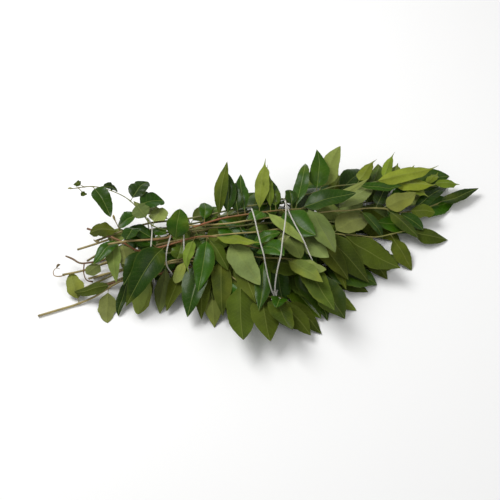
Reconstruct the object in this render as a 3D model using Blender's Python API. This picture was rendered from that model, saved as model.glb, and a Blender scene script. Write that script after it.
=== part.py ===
"""A tied bunch of curry leaf sprigs, lying on a table.

Every sprig is one long stalk with leaflets on both sides. The sprigs are laid one after another on a heap,
and each stalk and leaflet comes to rest just clear of what lies below it. Cotton twine goes round the bunch.
Metres, +Z up. +X points from the cut ends to the leaf tips, +Y to the far side, and the table is at Z 0.
"""

import math
import random

import bpy
import numpy as np
from mathutils import Matrix

MM = 0.001

# Leaflets
LEAF_LENGTH = 49 * MM  # blade of a full-grown leaflet
LEAF_WIDTH = 22 * MM
BLADE_THICKNESS = 0.9 * MM  # along the midrib
LONGEST = 62 * MM  # with its stalklet
STALKLET_LENGTH = 4.5 * MM  # from the middle of the stalk to the blade
STALKLET_RADIUS = 0.55 * MM
CLEARANCE = 0.35 * MM  # between one piece and the next
BEND = 0.42  # the most that a blade bends up or down from its own curve, as a slope
MOST_SAG = 7 * MM  # how far it sags from its own curve
ROOT_ZONE = 5 * MM  # round its root a leaflet meets only its own stalk

# Stalks
STALK_RADIUS_CUT = 1.1 * MM
STALK_RADIUS_TIP = 0.6 * MM
STALK_SIDES = 5
STALK_STEP = 17 * MM
STALK_BEND_RADIUS = 70 * MM  # the tightest arch of a stalk over the heap

# Twine
TWINE_RADIUS = 0.7 * MM
TWINE_SIDES = 6
POST_ZONE = 2.1 * MM  # kept free of leaves where the twine runs down between them
KNOT = np.array((6, -53.5, 7)) * MM  # ties two turns together on the near side
KNOT_RADIUS = 2.6 * MM

# A leaflet's outline: share of the blade's length, share of its half width, share of its thickness
LONG_BLADE = ((0.0, 0.07, 1.0), (0.15, 0.72, 1.0), (0.40, 1.0, 1.0), (0.68, 0.73, 0.9), (0.89, 0.27, 0.8))
ROUND_BLADE = ((0.0, 0.09, 1.0), (0.20, 0.80, 1.0), (0.52, 1.0, 1.0), (0.84, 0.62, 0.8))

# Each sprig, from the bottom of the heap up. "way" is its stalk's way over the table in mm, cut end first.
# Hidden sprigs have so many "pairs" of leaflets from "bare" mm on. "turned" has the pale underside up.
# Sprigs in sight name their leaflets: where each starts and ends in mm, its width, and the side that shows,
# with its slope in degrees where it stands up, and True where it is laid last of all. A "loose" sprig lies
# over the twine, "held" is how high the heap holds it at a place along it, and "radii" make it thin.
SPRIGS = (
    {
        "way": ((-142, 4), (-75, 6), (-10, -26), (32, -50)),
        "pairs": 6, "bare": 40, "turned": True, "slope": -20,
    },
    {
        "way": ((-138, 20), (-75, 25), (20, 14), (100, 30)),
        "pairs": 4, "bare": 80, "turned": False, "slope": -20,
    },
    {
        "way": ((-146, -6), (-75, -3), (10, -30), (78, -42)),
        "pairs": 6, "bare": 40, "turned": True, "slope": -20,
    },
    {
        "way": ((-130, 26), (-75, 22), (40, 12), (146, 22)),
        "pairs": 5, "bare": 50, "turned": True, "slope": -20,
    },
    {
        "way": ((-135, -8), (-88, -10), (-58, -13), (-30, -34), (-8, -54)),
        "pairs": 5, "bare": 16, "turned": True, "slope": -20,
    },
    {
        "way": ((-148, 14), (-120, 11), (-75, 10), (25, 4), (130, 14)),
        "pairs": 6, "bare": 60, "turned": True, "slope": -20,
    },
    {
        "way": ((-158, -8), (-75, 0), (5, -30), (50, -46)),
        "pairs": 6, "bare": 50, "turned": True, "slope": -25,
    },
    {
        "way": ((-144, 20), (-75, 23), (10, 18), (50, 19), (88, 30)),
        "pairs": 4, "bare": 75, "turned": False, "slope": -10,
    },
    {
        "way": ((-128, 14), (-75, 17), (50, -8), (146, -6)),
        "pairs": 5, "bare": 70, "turned": False, "slope": -15,
    },
    {
        "way": ((-146, -2), (-88, -9), (-60, -14), (-34, -33), (-14, -56), (10, -66)),
        "turned": True,
        "leaflets": (
            (-83, -10, -102, -44, 16, "pale"),
            (-62, -13, -78, -48, 15, "olive"),
            (-48, -21, -60, -58, 16, "olive"),
            (-28, -38, -38, -60, 18, "dark"),
            (-22, -46, -48, -112, 25, "olive"),
            (-8, -58, -26, -98, 24, "olive"),
            (8, -65, -4, -112, 20, "olive"),
            (6, -65, 22, -100, 17, "olive"),
            (10, -66, 36, -96, 18, "olive"),
        ),
    },
    {
        "way": (
            (-194, -22), (-150, -18), (-115, -15), (-88, -11), (-60, -13), (-20, -24), (24, -42), (44, -57),
        ),
        "turned": True,
        "leaflets": (
            (-158, -20, -161, 10, 15, "pale"),
            (-130, -18, -154, -5, 11, "olive"),
            (-131, -18, -138, -41, 16, "pale"),
            (-112, -15, -128, -36, 9, "dark"),
            (-97, -12, -112, -37, 15, "pale"),
            (-102, -13, -114, -36, 18, "pale"),
            (-58, -13, -70, -30, 10, "pale"),
            (-46, -16, -70, -54, 22, "dark"),
            (-32, -20, -56, -60, 17, "olive"),
            (-20, -24, -18, -68, 17, "olive"),
            (8, -36, -3, -80, 14, "dark"),
            (18, -40, 38, -76, 14, "pale"),
            (28, -44, 44, -94, 19, "olive"),
            (24, -42, 42, -66, 12, "pale"),
            (44, -57, 60, -118, 24, "dark"),
        ),
    },
    {
        "way": ((-167, 8), (-150, 8), (-75, 6), (0, -8), (56, -20), (100, -27), (138, -26)),
        "turned": True,
        "leaflets": (
            (-130, 8, -146, 0, 12, "pale"),
            (-100, 8, -114, -8, 17, "pale"),
            (-40, 0, -30, -34, 12, "olive"),
            (20, -12, 30, -44, 20, "pale"),
            (33, -15, 42, -54, 18, "pale"),
            (44, -17, 52, -60, 20, "olive"),
            (60, -21, 74, -80, 25, "olive"),
            (62, -22, 62, -68, 13, "olive"),
            (62, -22, 104, -8, 23, "pale"),
            (86, -25, 98, -62, 17, "olive"),
            (74, -24, 117, -50, 23, "olive"),
            (100, -27, 116, -48, 14, "olive"),
            (118, -27, 128, -64, 16, "olive"),
            (138, -26, 173, -38, 16, "olive"),
        ),
    },
    {
        "way": ((-150, 28), (-75, 20), (0, 2), (60, -4), (110, -2), (146, -6), (172, -2)),
        "turned": False,
        "leaflets": (
            (-80, 21, -98, 8, 17, "dark"),
            (-110, 25, -104, 7, 12, "dark"),
            (-100, 24, -122, 26, 14, "pale"),
            (74, -4, 124, 13, 18, "pale"),
            (96, -3, 110, -24, 10, "dark"),
            (112, -2, 142, 22, 12, "dark"),
            (118, -3, 150, 3, 18, "pale"),
            (122, -4, 138, -30, 13, "olive"),
            (131, -7, 152, -20, 12, "dark"),
            (144, -6, 164, -14, 13, "olive"),
            (146, -6, 190, 18, 12, "dark"),
            (172, -2, 213, 6, 13, "dark", 18),
        ),
    },
    {
        "way": ((-134, 22), (-75, 25), (0, 17), (40, 18), (90, 26), (130, 27), (160, 20), (178, 15)),
        "turned": True,
        "leaflets": (
            (64, 21, 88, 56, 18, "dark", 16),
            (-66, 24, -88, 38, 14, "pale"),
            (67, 22, 106, 54, 19, "pale", 14),
            (42, 18, 66, 17, 12, "dark", None, True),
            (100, 27, 144, 26, 9, "dark"),
            (104, 27, 131, 52, 12, "bright", 8),
            (120, 27, 184, 23, 14, "bright"),
            (128, 27, 151, 60, 9, "bright", 10),
            (134, 26, 172, 8, 14, "bright"),
            (138, 26, 152, 50, 8, "bright", 8),
            (146, 24, 162, 2, 12, "bright"),
            (148, 24, 165, 45, 8, "bright", 8),
            (166, 19, 188, 27, 8, "bright"),
            (172, 17, 196, 15, 9, "bright"),
        ),
    },
    {
        "way": ((-138, 35), (-115, 15), (-99, 2), (-70, 1), (-42, 0), (-28, -8), (-11, -18), (14, -28)),
        "turned": True,
        "leaflets": (
            (-112, 12, -126, 4, 13, "dark"),
            (-119, 19, -124, -11, 13, "pale"),
            (-112, 12, -107, -6, 16, "pale"),
            (-62, 1, -69, -13, 14, "dark"),
            (-40, -1, -55, -48, 17, "dark"),
            (-24, -10, -9, -57, 21, "pale"),
            (-8, -20, 18, -28, 12, "dark"),
            (0, -23, 13, -56, 20, "dark"),
            (10, -27, 38, -49, 12, "pale"),
            (-84, 2, -98, 22, 16, "dark"),
            (-90, 1, -118, -20, 19, "dark"),
            (-77, 1, -126, -25, 23, "dark", None, True),
            (-68, 1, -53, 32, 19, "dark", 10, True),
            (-55, 1, -64, -28, 9, "bright", None, True),
            (-36, -3, 7, -22, 11, "bright", None, True),
        ),
    },
    {
        "way": ((-124, 6), (-99, 6), (-70, 8), (-46, 11), (-21, 11), (1, 8), (30, 6), (60, 3)),
        "turned": False,
        "leaflets": (
            (-27, 11, -5, 58, 11, "olive", 20),
            (-20, 11, -8, 50, 13, "dark", 20),
            (-4, 9, 6, 50, 12, "dark", 18),
            (18, 7, 30, 50, 9, "bright", 16),
            (4, 8, 12, 56, 14, "bright", 18),
            (11, 7, -14, -7, 14, "dark"),
            (14, 7, 30, -40, 9, "pale"),
            (24, 7, 45, -34, 25, "dark"),
            (50, 4, 49, -62, 23, "pale"),
            (44, 5, 58, 54, 13, "dark", 16),
            (54, 4, 108, 10, 9, "pale"),
            (48, 4, 94, 4, 20, "dark"),
            (-84, 7, -104, 22, 13, "dark"),
            (-70, 8, -82, 19, 12, "dark"),
            (-56, 10, -70, 21, 11, "dark"),
            (-40, 11, -30, 34, 11, "dark", 16),
            (-10, 10, -5, 40, 12, "dark", 18),
            (31, 6, 36, 36, 11, "dark", 24),
            (37, 6, 42, 24, 11, "dark", 12),
        ),
    },
    {
        "way": ((-143, 70), (-128, 68), (-109, 55), (-100, 45), (-92, 30), (-85, 15), (-72, 9), (-50, 8)),
        "turned": False,
        "loose": True,
        "radii": (0.42, 0.6),
        "held": ((0, 46), (20, 47), (40, 49), (60, 50)),
        "leaflets": (
            (-138, 69, -134, 62, 5, "olive", -20),
            (-132, 69, -140, 75, 6, "olive", 5),
            (-126, 67, -109, 38, 16, "dark", -20),
            (-121, 64, -104, 62, 7, "dark", 0),
            (-97, 41, -80, 62, 15, "dark", 5),
            (-93, 33, -70, 44, 18, "dark", 5),
            (-91, 28, -118, 30, 14, "dark"),
            (-87, 18, -94, 34, 15, "pale"),
            (-84, 14, -76, 36, 15, "pale", 0),
        ),
    },
)

# The twine's turns round the bunch, in mm: where each goes up on the near side and down on the far side.
TURNS = (
    ((-92, -16), (-86, 31)),
    ((-76, -18), (-66, 31)),
    ((-62, -21), (-50, 31)),
    ((4, -53), (6, 25)),
    ((8, -53), (34, 25)),
    ((46, -50), (42, 26)),
)


def lattice(parts):
    """Weights of evenly spread points on a triangle."""
    return np.array([(i, j, parts - i - j) for i in range(parts + 1) for j in range(parts + 1 - i)]) / parts


LATTICE = lattice(8)


class Heap:
    """The height of what lies on the table so far, over each square millimetre.

    Besides the height of everything, it keeps one for each sprig's leaflets, without that sprig's own stalk.
    """

    cell = 1 * MM
    low = np.array((-260, -170)) * MM

    def __init__(self):
        self.tops = {"all": np.full((560, 350), -CLEARANCE)}

    def set_apart(self, sprig):
        self.tops[sprig] = self.tops["all"].copy()

    def cells(self, points):
        index = ((points[..., :2] - self.low) / self.cell).astype(int)
        return index[..., 0], index[..., 1]

    def height(self, points, sprig="all"):
        return self.tops[sprig][self.cells(points)]

    def cover(self, points, sprig=None):
        """Raises the heap to these points and the cells round them, but not for the stalk's own sprig."""
        i, j = self.cells(points)
        for key, top in self.tops.items():
            if key != sprig:
                for di in (-1, 0, 1):
                    for dj in (-1, 0, 1):
                        np.maximum.at(top, (i + di, j + dj), points[..., 2])


def facet_points(corners, triangles):
    """Points spread over triangles, as rows of one array for each triangle."""
    return np.einsum("pc,tcx->tpx", LATTICE, corners[triangles])


def smooth_way(points, step):
    """A curve through the points, as points about one step apart."""
    points = np.array(points, float)
    ends = np.vstack([2 * points[0] - points[1], points, 2 * points[-1] - points[-2]])
    t = np.linspace(0, 1, 40, endpoint=False)[:, None]
    fine = []
    for a, b, c, d in zip(ends, ends[1:], ends[2:], ends[3:]):
        square, cube = (2 * a - 5 * b + 4 * c - d) * t**2, (3 * b - a - 3 * c + d) * t**3
        fine.append(0.5 * (2 * b + (c - a) * t + square + cube))
    fine = np.vstack([*fine, points[-1:]])
    along = np.concatenate([[0], np.cumsum(np.linalg.norm(np.diff(fine, axis=0), axis=1))])
    count = max(2, round(along[-1] / step) + 1)
    wanted = np.linspace(0, along[-1], count)
    return np.stack([np.interp(wanted, along, axis) for axis in fine.T], 1), wanted


# Leaflets


def new_leaflet(rng, sprig, root, heading, length, width, turned, slope):
    """What a leaflet is like by itself, before it meets the heap."""
    return {
        "sprig": sprig["number"],
        "root": np.array(root),
        "heading": heading,
        "length": length,
        "width": width,
        "outline": LONG_BLADE if length > 0.5 * LEAF_LENGTH else ROUND_BLADE,
        "turned": turned,
        "slope": slope,
        "droop": math.radians(rng.uniform(5, 45) if not turned else rng.uniform(-15, 28)),
        "sweep": math.radians(rng.uniform(-14, 14)),
        "roll": math.radians(rng.uniform(-12, 12)),
        "twist": math.radians(rng.uniform(-16, 16)),
        "fold": math.radians(rng.uniform(4, 13)) * (-1 if turned else 1),
        "turns": (0, 9, -9, 18, -18, 28, -28),
        "last": False,
    }


def rib_frame(leaf, share, heading, slope, roll):
    """Points along the midrib with the directions across and out of the blade; share runs from 0 to 1."""
    steps = np.linspace(0, 1, 33)
    yaw = heading + leaf["sweep"] * steps
    tilt = slope - leaf["droop"] * steps
    ahead = np.stack([np.cos(tilt) * np.cos(yaw), np.cos(tilt) * np.sin(yaw), np.sin(tilt)], 1)
    reach = (STALKLET_LENGTH + leaf["length"]) / (len(steps) - 1)
    line = np.vstack([np.zeros(3), np.cumsum((ahead[1:] + ahead[:-1]) / 2 * reach, axis=0)]) + leaf["root"]
    point = np.stack([np.interp(share, steps, axis) for axis in line.T], 1)
    yaw = heading + leaf["sweep"] * share
    tilt = slope - leaf["droop"] * share
    turn = roll + leaf["twist"] * share
    level = np.stack([-np.sin(yaw), np.cos(yaw), np.zeros_like(yaw)], 1)
    above = np.stack([-np.sin(tilt) * np.cos(yaw), -np.sin(tilt) * np.sin(yaw), np.cos(tilt)], 1)
    cos, sin = np.cos(turn)[:, None], np.sin(turn)[:, None]
    return point, level * cos + above * sin, above * cos - level * sin


def blade_sections(leaf):
    """For the root and each place of the outline: share of the whole length, half width, half thickness."""
    whole = STALKLET_LENGTH + leaf["length"]
    shares, widths, thicks = [0.0], [STALKLET_RADIUS], [STALKLET_RADIUS]
    for along, wide, thick in leaf["outline"]:
        shares.append((STALKLET_LENGTH + along * leaf["length"]) / whole)
        widths.append(max(wide * leaf["width"] / 2, STALKLET_RADIUS))
        thicks.append(thick * BLADE_THICKNESS / 2)
    return np.array(shares), np.array(widths), np.array(thicks)


def blade_corners(leaf, heading, slope, roll):
    """Left, top, right and bottom corner of every section, and the tip."""
    shares, widths, thicks = blade_sections(leaf)
    point, across, out = rib_frame(leaf, np.append(shares, 1.0), heading, slope, roll)
    tip, point, across, out = point[-1:], point[:-1], across[:-1], out[:-1]
    cos, sin = math.cos(leaf["fold"]), math.sin(leaf["fold"])
    left = point + (across * cos + out * sin) * widths[:, None]
    right = point + (-across * cos + out * sin) * widths[:, None]
    top = point + out * thicks[:, None]
    bottom = point - out * thicks[:, None]
    return np.vstack([np.stack([left, top, right, bottom], 1).reshape(-1, 3), tip])


def blade_triangles(sections):
    """Upper and lower triangles of a leaflet with so many sections, and where each starts."""
    upper, lower, first = [], [], []
    for k in range(sections - 1):
        left, top, right, bottom = range(4 * k, 4 * k + 4)
        left_2, top_2, right_2, bottom_2 = range(4 * k + 4, 4 * k + 8)
        upper += [(left, top, top_2), (left, top_2, left_2), (top, right, right_2), (top, right_2, top_2)]
        lower += [(left, bottom_2, bottom), (left, left_2, bottom_2)]
        lower += [(bottom, right_2, right), (bottom, bottom_2, right_2)]
        first += [k] * 4
    left, top, right, bottom = range(4 * sections - 4, 4 * sections)
    tip = 4 * sections
    upper += [(left, top, tip), (top, right, tip)]
    lower += [(left, tip, bottom), (bottom, tip, right)]
    first += [sections - 1] * 2
    return np.array(upper), np.array(lower), np.array(first)


BLADES = {len(outline) + 1: blade_triangles(len(outline) + 1) for outline in (LONG_BLADE, ROUND_BLADE)}


def settle(heap, leaf, corners):
    """How far each section rises or sags to rest on the heap, or None where it would bend too much."""
    sections = len(leaf["outline"]) + 1
    _, lower, first = BLADES[sections]
    points = facet_points(corners, lower)
    from_root = np.hypot(points[..., 0] - leaf["root"][0], points[..., 1] - leaf["root"][1])
    height = np.where(from_root < ROOT_ZONE, heap.height(points, leaf["sprig"]), heap.height(points))
    need = height + CLEARANCE - points[..., 2]
    if need[first == 0].max() > 0:
        return None
    held = (LATTICE @ (lower[first == 1] >= 8).T).T
    near = need[first == 1]
    if near[held < 0.2].max() > 0:
        return None
    lift = np.full(sections + 1, -MOST_SAG)
    lift[1] = 0
    lift[2] = max(lift[2], (near[held >= 0.2] / held[held >= 0.2]).max())
    for k in range(2, sections):
        lift[k : k + 2] = np.maximum(lift[k : k + 2], need[first == k].max())
    shares = np.append(blade_sections(leaf)[0], 1.0) * (STALKLET_LENGTH + leaf["length"])
    reach = np.abs(shares[:, None] - shares) * BEND
    lift = (lift - reach)[:, 1:].max(axis=1)
    lift[0] = 0
    return None if lift[1] > 0 else lift


def clear_of_posts(posts, corners, leaf):
    sections = len(leaf["outline"]) + 1
    points = facet_points(corners, BLADES[sections][0])[..., :2].reshape(-1, 2)
    return all(np.hypot(*(points - post).T).min() > zone for post, zone in posts)


def lay_leaflet(heap, posts, leaf):
    """Lays a leaflet in the first of its ways that it can rest in."""
    for way in leaf.get("ways", ({}, {"length": 0.8 * leaf["length"]})):
        laid = rest_leaflet(heap, posts, {**leaf, **way})
        if laid:
            return laid
    return None


def rest_leaflet(heap, posts, leaf):
    """Turns the leaflet a little each way, and keeps the lowest pose in which it rests clear of all."""
    best = None
    for turn in leaf["turns"]:
        for roll in (0, 14, -14):
            heading = leaf["heading"] + math.radians(turn)
            rolled = leaf["roll"] + math.radians(roll)
            for slope in np.arange(leaf["slope"], math.radians(64), math.radians(4)):
                corners = blade_corners(leaf, heading, slope, rolled)
                lift = settle(heap, leaf, corners)
                if lift is not None:
                    break
            else:
                continue
            if not clear_of_posts(posts, corners, leaf):
                continue
            raised = corners[:, 2].mean() + lift[1:].mean() - leaf["root"][2]
            score = raised + 0.12 * MM * abs(turn) + 0.08 * MM * abs(roll)
            if best is None or score < best[0]:
                best = (score, heading, slope, rolled, corners, lift)
    if best is None:
        return None
    _, heading, slope, rolled, corners, lift = best
    corners = corners.copy()
    corners[:-1, 2] += np.repeat(lift[:-1], 4)
    corners[-1, 2] += lift[-1]
    heap.cover(facet_points(corners, BLADES[len(leaf["outline"]) + 1][0]))
    return {**leaf, "heading": heading, "slope": slope, "roll": rolled, "lift": lift, "corners": corners}


# Stalks


def lay_stalk(heap, sprig):
    """The stalk's middle line over the heap, with its radius at each point."""
    heap.set_apart(sprig["number"])
    way, along = smooth_way(np.array(sprig["way"]) * MM, STALK_STEP)
    cut, tip = np.array(sprig["radii"]) * MM if "radii" in sprig else (STALK_RADIUS_CUT, STALK_RADIUS_TIP)
    radii = cut + (tip - cut) * along / along[-1]
    fine = np.arange(0, along[-1], 1.5 * MM)
    plan = np.stack([np.interp(fine, along, axis) for axis in way.T], 1)
    ahead = np.gradient(plan, axis=0)
    ahead /= np.linalg.norm(ahead, axis=1)[:, None]
    sideways = np.stack([-ahead[:, 1], ahead[:, 0]], 1)
    need = np.full(len(fine), -1.0)
    for offset in np.arange(-2.5, 2.6, 1) * MM:
        need = np.maximum(need, heap.height(plan + sideways * offset))
    need += CLEARANCE + np.interp(fine, along, radii)
    apart = along[:, None] - fine
    z = (need - apart**2 / (2 * STALK_BEND_RADIUS)).max(axis=1)
    for at, height in sprig.get("held", ()):
        z = np.maximum(z, height * MM - (along - at * MM) ** 2 / (2 * STALK_BEND_RADIUS))
    short = (need - np.interp(fine, along, z)).max()
    z += max(short, 0)
    line = np.column_stack([way, z])
    for offset in (-1, 0, 1):
        edge = plan + sideways * offset * STALK_RADIUS_CUT
        heap.cover(np.column_stack([edge, np.interp(fine, along, z + radii)]), sprig["number"])
    return line, along, radii


def leaflets_by_rule(heap, rng, sprig, line, along):
    """Every leaflet of a hidden sprig, from the cut end to the tip."""
    whole = along[-1]
    bare = sprig["bare"] * MM
    pairs = sprig["pairs"]
    gap = (whole - bare - 6 * MM) / pairs
    places = []
    for pair in range(pairs):
        for side in (1, -1):
            at = bare + gap * (pair + 0.35 + 0.16 * side + rng.uniform(-0.08, 0.08))
            places.append((at, side, pair / (pairs - 1)))
    places.append((whole - 0.5 * MM, 0, 1.0))
    for at, side, part in places:
        root = [np.interp(at, along, axis) for axis in line.T]
        ahead = line[min(np.searchsorted(along, at), len(along) - 1)] - line[np.searchsorted(along, at) - 1]
        spread = 72 - 26 * part + rng.uniform(-11, 11) if side else rng.uniform(-12, 12)
        heading = math.atan2(ahead[1], ahead[0]) + math.radians(spread) * (side or 1)
        grown = min(1.0, 0.5 + 1.15 * part) * rng.uniform(0.88, 1.1)
        length = LEAF_LENGTH * grown
        width = LEAF_WIDTH * grown * (1.28 - 0.28 * min(1, 2.2 * part)) * rng.uniform(0.9, 1.1)
        turned = sprig["turned"] != (rng.random() < 0.18)
        slope = math.radians(sprig["slope"] + rng.uniform(-22, 8))
        yield new_leaflet(rng, sprig, root, heading, length, width, turned, slope)


def leaflets_by_name(heap, rng, sprig, line, along):
    """The leaflets that a sprig in sight names, each moved to the nearest point of its stalk."""
    fine = np.arange(0, along[-1], 0.5 * MM)
    stalk = np.stack([np.interp(fine, along, axis) for axis in line.T], 1)
    for x, y, tip_x, tip_y, width, side_up, *more in sprig["leaflets"]:
        nearest = np.hypot(stalk[:, 0] - x * MM, stalk[:, 1] - y * MM).argmin()
        raised = bool(more) and more[0] is not None
        slope = math.radians(more[0] if raised else rng.uniform(-45, -25))
        leaf = new_leaflet(rng, sprig, stalk[nearest], 0, 1, width * MM, side_up != "dark", slope)
        leaf["look"] = side_up
        ways = []
        for shift in (0, 4, -4, 8, -8, 12, -12):
            root = stalk[min(max(nearest + 2 * shift, 0), len(stalk) - 2)]
            tip = np.array((tip_x, tip_y)) * MM
            reach = tip - root[:2]
            length = np.hypot(*reach) / math.cos(slope)
            if not raised:
                drop = root[2] - max(heap.height(tip), 0)
                length = min(1.04 * np.hypot(np.hypot(*reach), drop), LONGEST)
            length -= STALKLET_LENGTH
            heading = math.atan2(reach[1], reach[0]) - leaf["sweep"] / 2
            outline = LONG_BLADE if length > 0.5 * LEAF_LENGTH else ROUND_BLADE
            ways.append({"root": root, "length": length, "heading": heading, "outline": outline})
        yield {**leaf, **ways[0], "ways": ways, "turns": (0, 7, -7, 14, -14), "last": len(more) > 1}


def turn_in_line(leaf):
    """Leaflets that point ahead go from the tip back, so that none lies over the root of a later one."""
    x, heading = leaf["root"][0], leaf["heading"]
    return (0, -x) if math.cos(heading) > -0.1 else (1, x)


def lay_sprig(heap, posts, sprig):
    """A sprig at rest on the heap: its stalk and leaflets, and those that wait to lie over the twine."""
    rng = random.Random(sprig["number"])
    line, along, radii = lay_stalk(heap, sprig)
    laid, waiting, missing = [], [], 0
    leaflets = leaflets_by_name if "leaflets" in sprig else leaflets_by_rule
    for leaf in sorted(leaflets(heap, rng, sprig, line, along), key=turn_in_line):
        if leaf["last"]:
            waiting.append(leaf)
            continue
        leaf = lay_leaflet(heap, posts, leaf)
        if leaf:
            laid.append(leaf)
        else:
            missing += 1
    if not waiting:
        heap.tops.pop(sprig["number"])
    return {"line": line, "radii": radii, "leaflets": laid, "waiting": waiting, "missing": missing}


# Twine


def hull_over(heap, near, far):
    """The tight line over the heap from the near side to the far side."""
    span = np.linalg.norm(far - near)
    share = np.linspace(0, 1, round(span / MM) + 1)
    plan = near + (far - near) * share[:, None]
    ahead = (far - near) / span
    sideways = np.array((-ahead[1], ahead[0]))
    need = heap.height(plan)
    for offset in (-1, 1):
        need = np.maximum(need, heap.height(plan + sideways * offset * TWINE_RADIUS))
    need = need + TWINE_RADIUS + CLEARANCE
    need[0], need[-1] = max(need[:3].max(), 8 * MM), max(need[-3:].max(), 8 * MM)
    kept = []
    for s, z in zip(share * span, need):
        while len(kept) > 1:
            (s_0, z_0), (s_1, z_1) = kept[-2:]
            if (z_1 - z_0) * (s - s_0) > (z - z_0) * (s_1 - s_0):
                break
            kept.pop()
        if not kept or s - kept[-1][0] > 3 * MM or s == span:
            kept.append((s, z))
    kept = np.array(kept)
    kept[:, 1] += max((need - np.interp(share * span, *kept.T)).max(), 0)
    return np.array([(*(near + ahead * s), z) for s, z in kept])


def twine_bottom():
    """Where the twine lies on the table: stretches from one post to another, each as its two ends."""
    ends = [(np.array(near) * MM, np.array(far) * MM) for near, far in TURNS]
    start = ends[0][0] + (ends[0][1] - ends[0][0]) * 0.35
    stretches = [(start, ends[0][0])]
    stretches += [(far, near) for (_, far), (near, _) in zip(ends, ends[1:])]
    stretches.append((ends[-1][1], ends[-1][1] + (ends[-1][0] - ends[-1][1]) * 0.25))
    return stretches


def twine_line(heap):
    """The twine's middle line from end to end, and the level direction that its section keeps to."""
    flat = TWINE_RADIUS * math.cos(math.pi / TWINE_SIDES)
    points, sides = [], []
    bottoms = twine_bottom()
    for number, (near, far) in enumerate(TURNS):
        near, far = np.array(near) * MM, np.array(far) * MM
        over = hull_over(heap, near, far)
        across = (far - near) / np.linalg.norm(far - near)
        side = np.array((-across[1], across[0], 0))
        start, end = bottoms[number]
        before = (start - end) / np.linalg.norm(start - end)
        before_side = np.array((-before[1], before[0], 0))
        start_2, end_2 = bottoms[number + 1]
        after = (end_2 - start_2) / np.linalg.norm(end_2 - start_2)
        after_side = np.array((after[1], -after[0], 0))
        if number == 0:
            points.append((*start, flat))
            sides.append(before_side)
        points.append((*(near + before * 2 * MM), flat))
        sides.append(before_side)
        points.append((*near, flat + 2 * MM))
        sides.append(before_side + side)
        points += list(over)
        sides += [side] * len(over)
        points.append((*far, flat + 2 * MM))
        sides.append(side + after_side)
        points.append((*(far + after * 2 * MM), flat))
        sides.append(after_side)
        if number == len(TURNS) - 1:
            points.append((*end_2, flat))
            sides.append(after_side)
    sides = np.array(sides)
    return np.array(points), sides / np.linalg.norm(sides, axis=1)[:, None]


def main():
    for obj in list(bpy.data.objects):
        bpy.data.objects.remove(obj)
    heap = Heap()
    posts = [(np.array(post) * MM, POST_ZONE) for turn in TURNS for post in turn]
    posts.append((KNOT[:2], KNOT_RADIUS + 1.2 * MM))
    for start, end in twine_bottom():
        share = np.linspace(0, 1, 200)[:, None]
        plan = start + (end - start) * share
        heap.cover(np.column_stack([plan, np.full(len(plan), 1.8 * TWINE_RADIUS)]))
    sprigs = []
    for number, sprig in enumerate(SPRIGS):
        if not sprig.get("loose"):
            sprigs.append(lay_sprig(heap, posts, {**sprig, "number": number}))
    line, sides = twine_line(heap)
    for start, end in zip(line, line[1:]):
        heap.cover(start + (end - start) * np.linspace(0, 1, 60)[:, None] + np.array((0, 0, TWINE_RADIUS)))
    for number, sprig in enumerate(SPRIGS):
        if sprig.get("loose"):
            sprigs.append(lay_sprig(heap, [], {**sprig, "number": number}))
    for laid in sprigs:
        for leaf in laid["waiting"]:
            leaf = lay_leaflet(heap, [], leaf)
            if leaf:
                laid["leaflets"].append(leaf)
            else:
                laid["missing"] += 1
    build(sprigs, line, sides)
    return heap, sprigs


# Meshes


def add_solid(name, corners, faces):
    """A closed solid as an object of its own."""
    mesh = bpy.data.meshes.new(name)
    faces = [tuple(int(i) for i in face) for face in faces]
    mesh.from_pydata([tuple(corner) for corner in corners], [], faces)
    obj = bpy.data.objects.new(name, mesh)
    bpy.context.scene.collection.objects.link(obj)
    return obj


def tube_rings(line, radii, sides, count, turn=0.0):
    """Rings round a line, each in the plane that halves its bend, with one corner along its side."""
    ahead = np.diff(line, axis=0)
    ahead /= np.linalg.norm(ahead, axis=1)[:, None]
    first = np.vstack([ahead[:1], ahead])
    last = np.vstack([ahead, ahead[-1:]])
    middle = first + last
    middle /= np.linalg.norm(middle, axis=1)[:, None]
    stretch = 1 / np.maximum((middle * first).sum(axis=1), 0.6)
    sides = sides - middle * (sides * middle).sum(axis=1)[:, None]
    sides /= np.linalg.norm(sides, axis=1)[:, None]
    out = np.cross(middle, sides)
    angles = np.arange(count) * 2 * math.pi / count + turn
    return [
        point + radius * (math.cos(a) * side + math.sin(a) * more * normal)
        for point, radius, side, normal, more in zip(line, radii, sides, out, stretch)
        for a in angles
    ]


def add_tube(name, line, radii, sides, count, turn=0.0):
    corners = tube_rings(line, radii, sides, count, turn)
    faces = []
    for k in range(len(line) - 1):
        for i in range(count):
            j = (i + 1) % count
            a, b, c, d = count * k + i, count * k + j, count * (k + 1) + j, count * (k + 1) + i
            faces += [(a, b, c), (a, c, d)]
    last = count * (len(line) - 1)
    faces += [(0, i + 1, i) for i in range(1, count - 1)]
    faces += [(last, last + i, last + i + 1) for i in range(1, count - 1)]
    return add_solid(name, corners, faces)


def add_stalk(name, laid):
    line = laid["line"]
    ahead = np.gradient(line, axis=0)
    level = np.column_stack([-ahead[:, 1], ahead[:, 0], np.zeros(len(line))])
    return add_tube(name, line, laid["radii"], level, STALK_SIDES, math.pi / 2)


def add_leaflet(name, leaf):
    upper, lower, _ = BLADES[len(leaf["outline"]) + 1]
    return add_solid(name, leaf["corners"], [*upper, *lower, (0, 2, 1), (0, 3, 2)])


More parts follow.
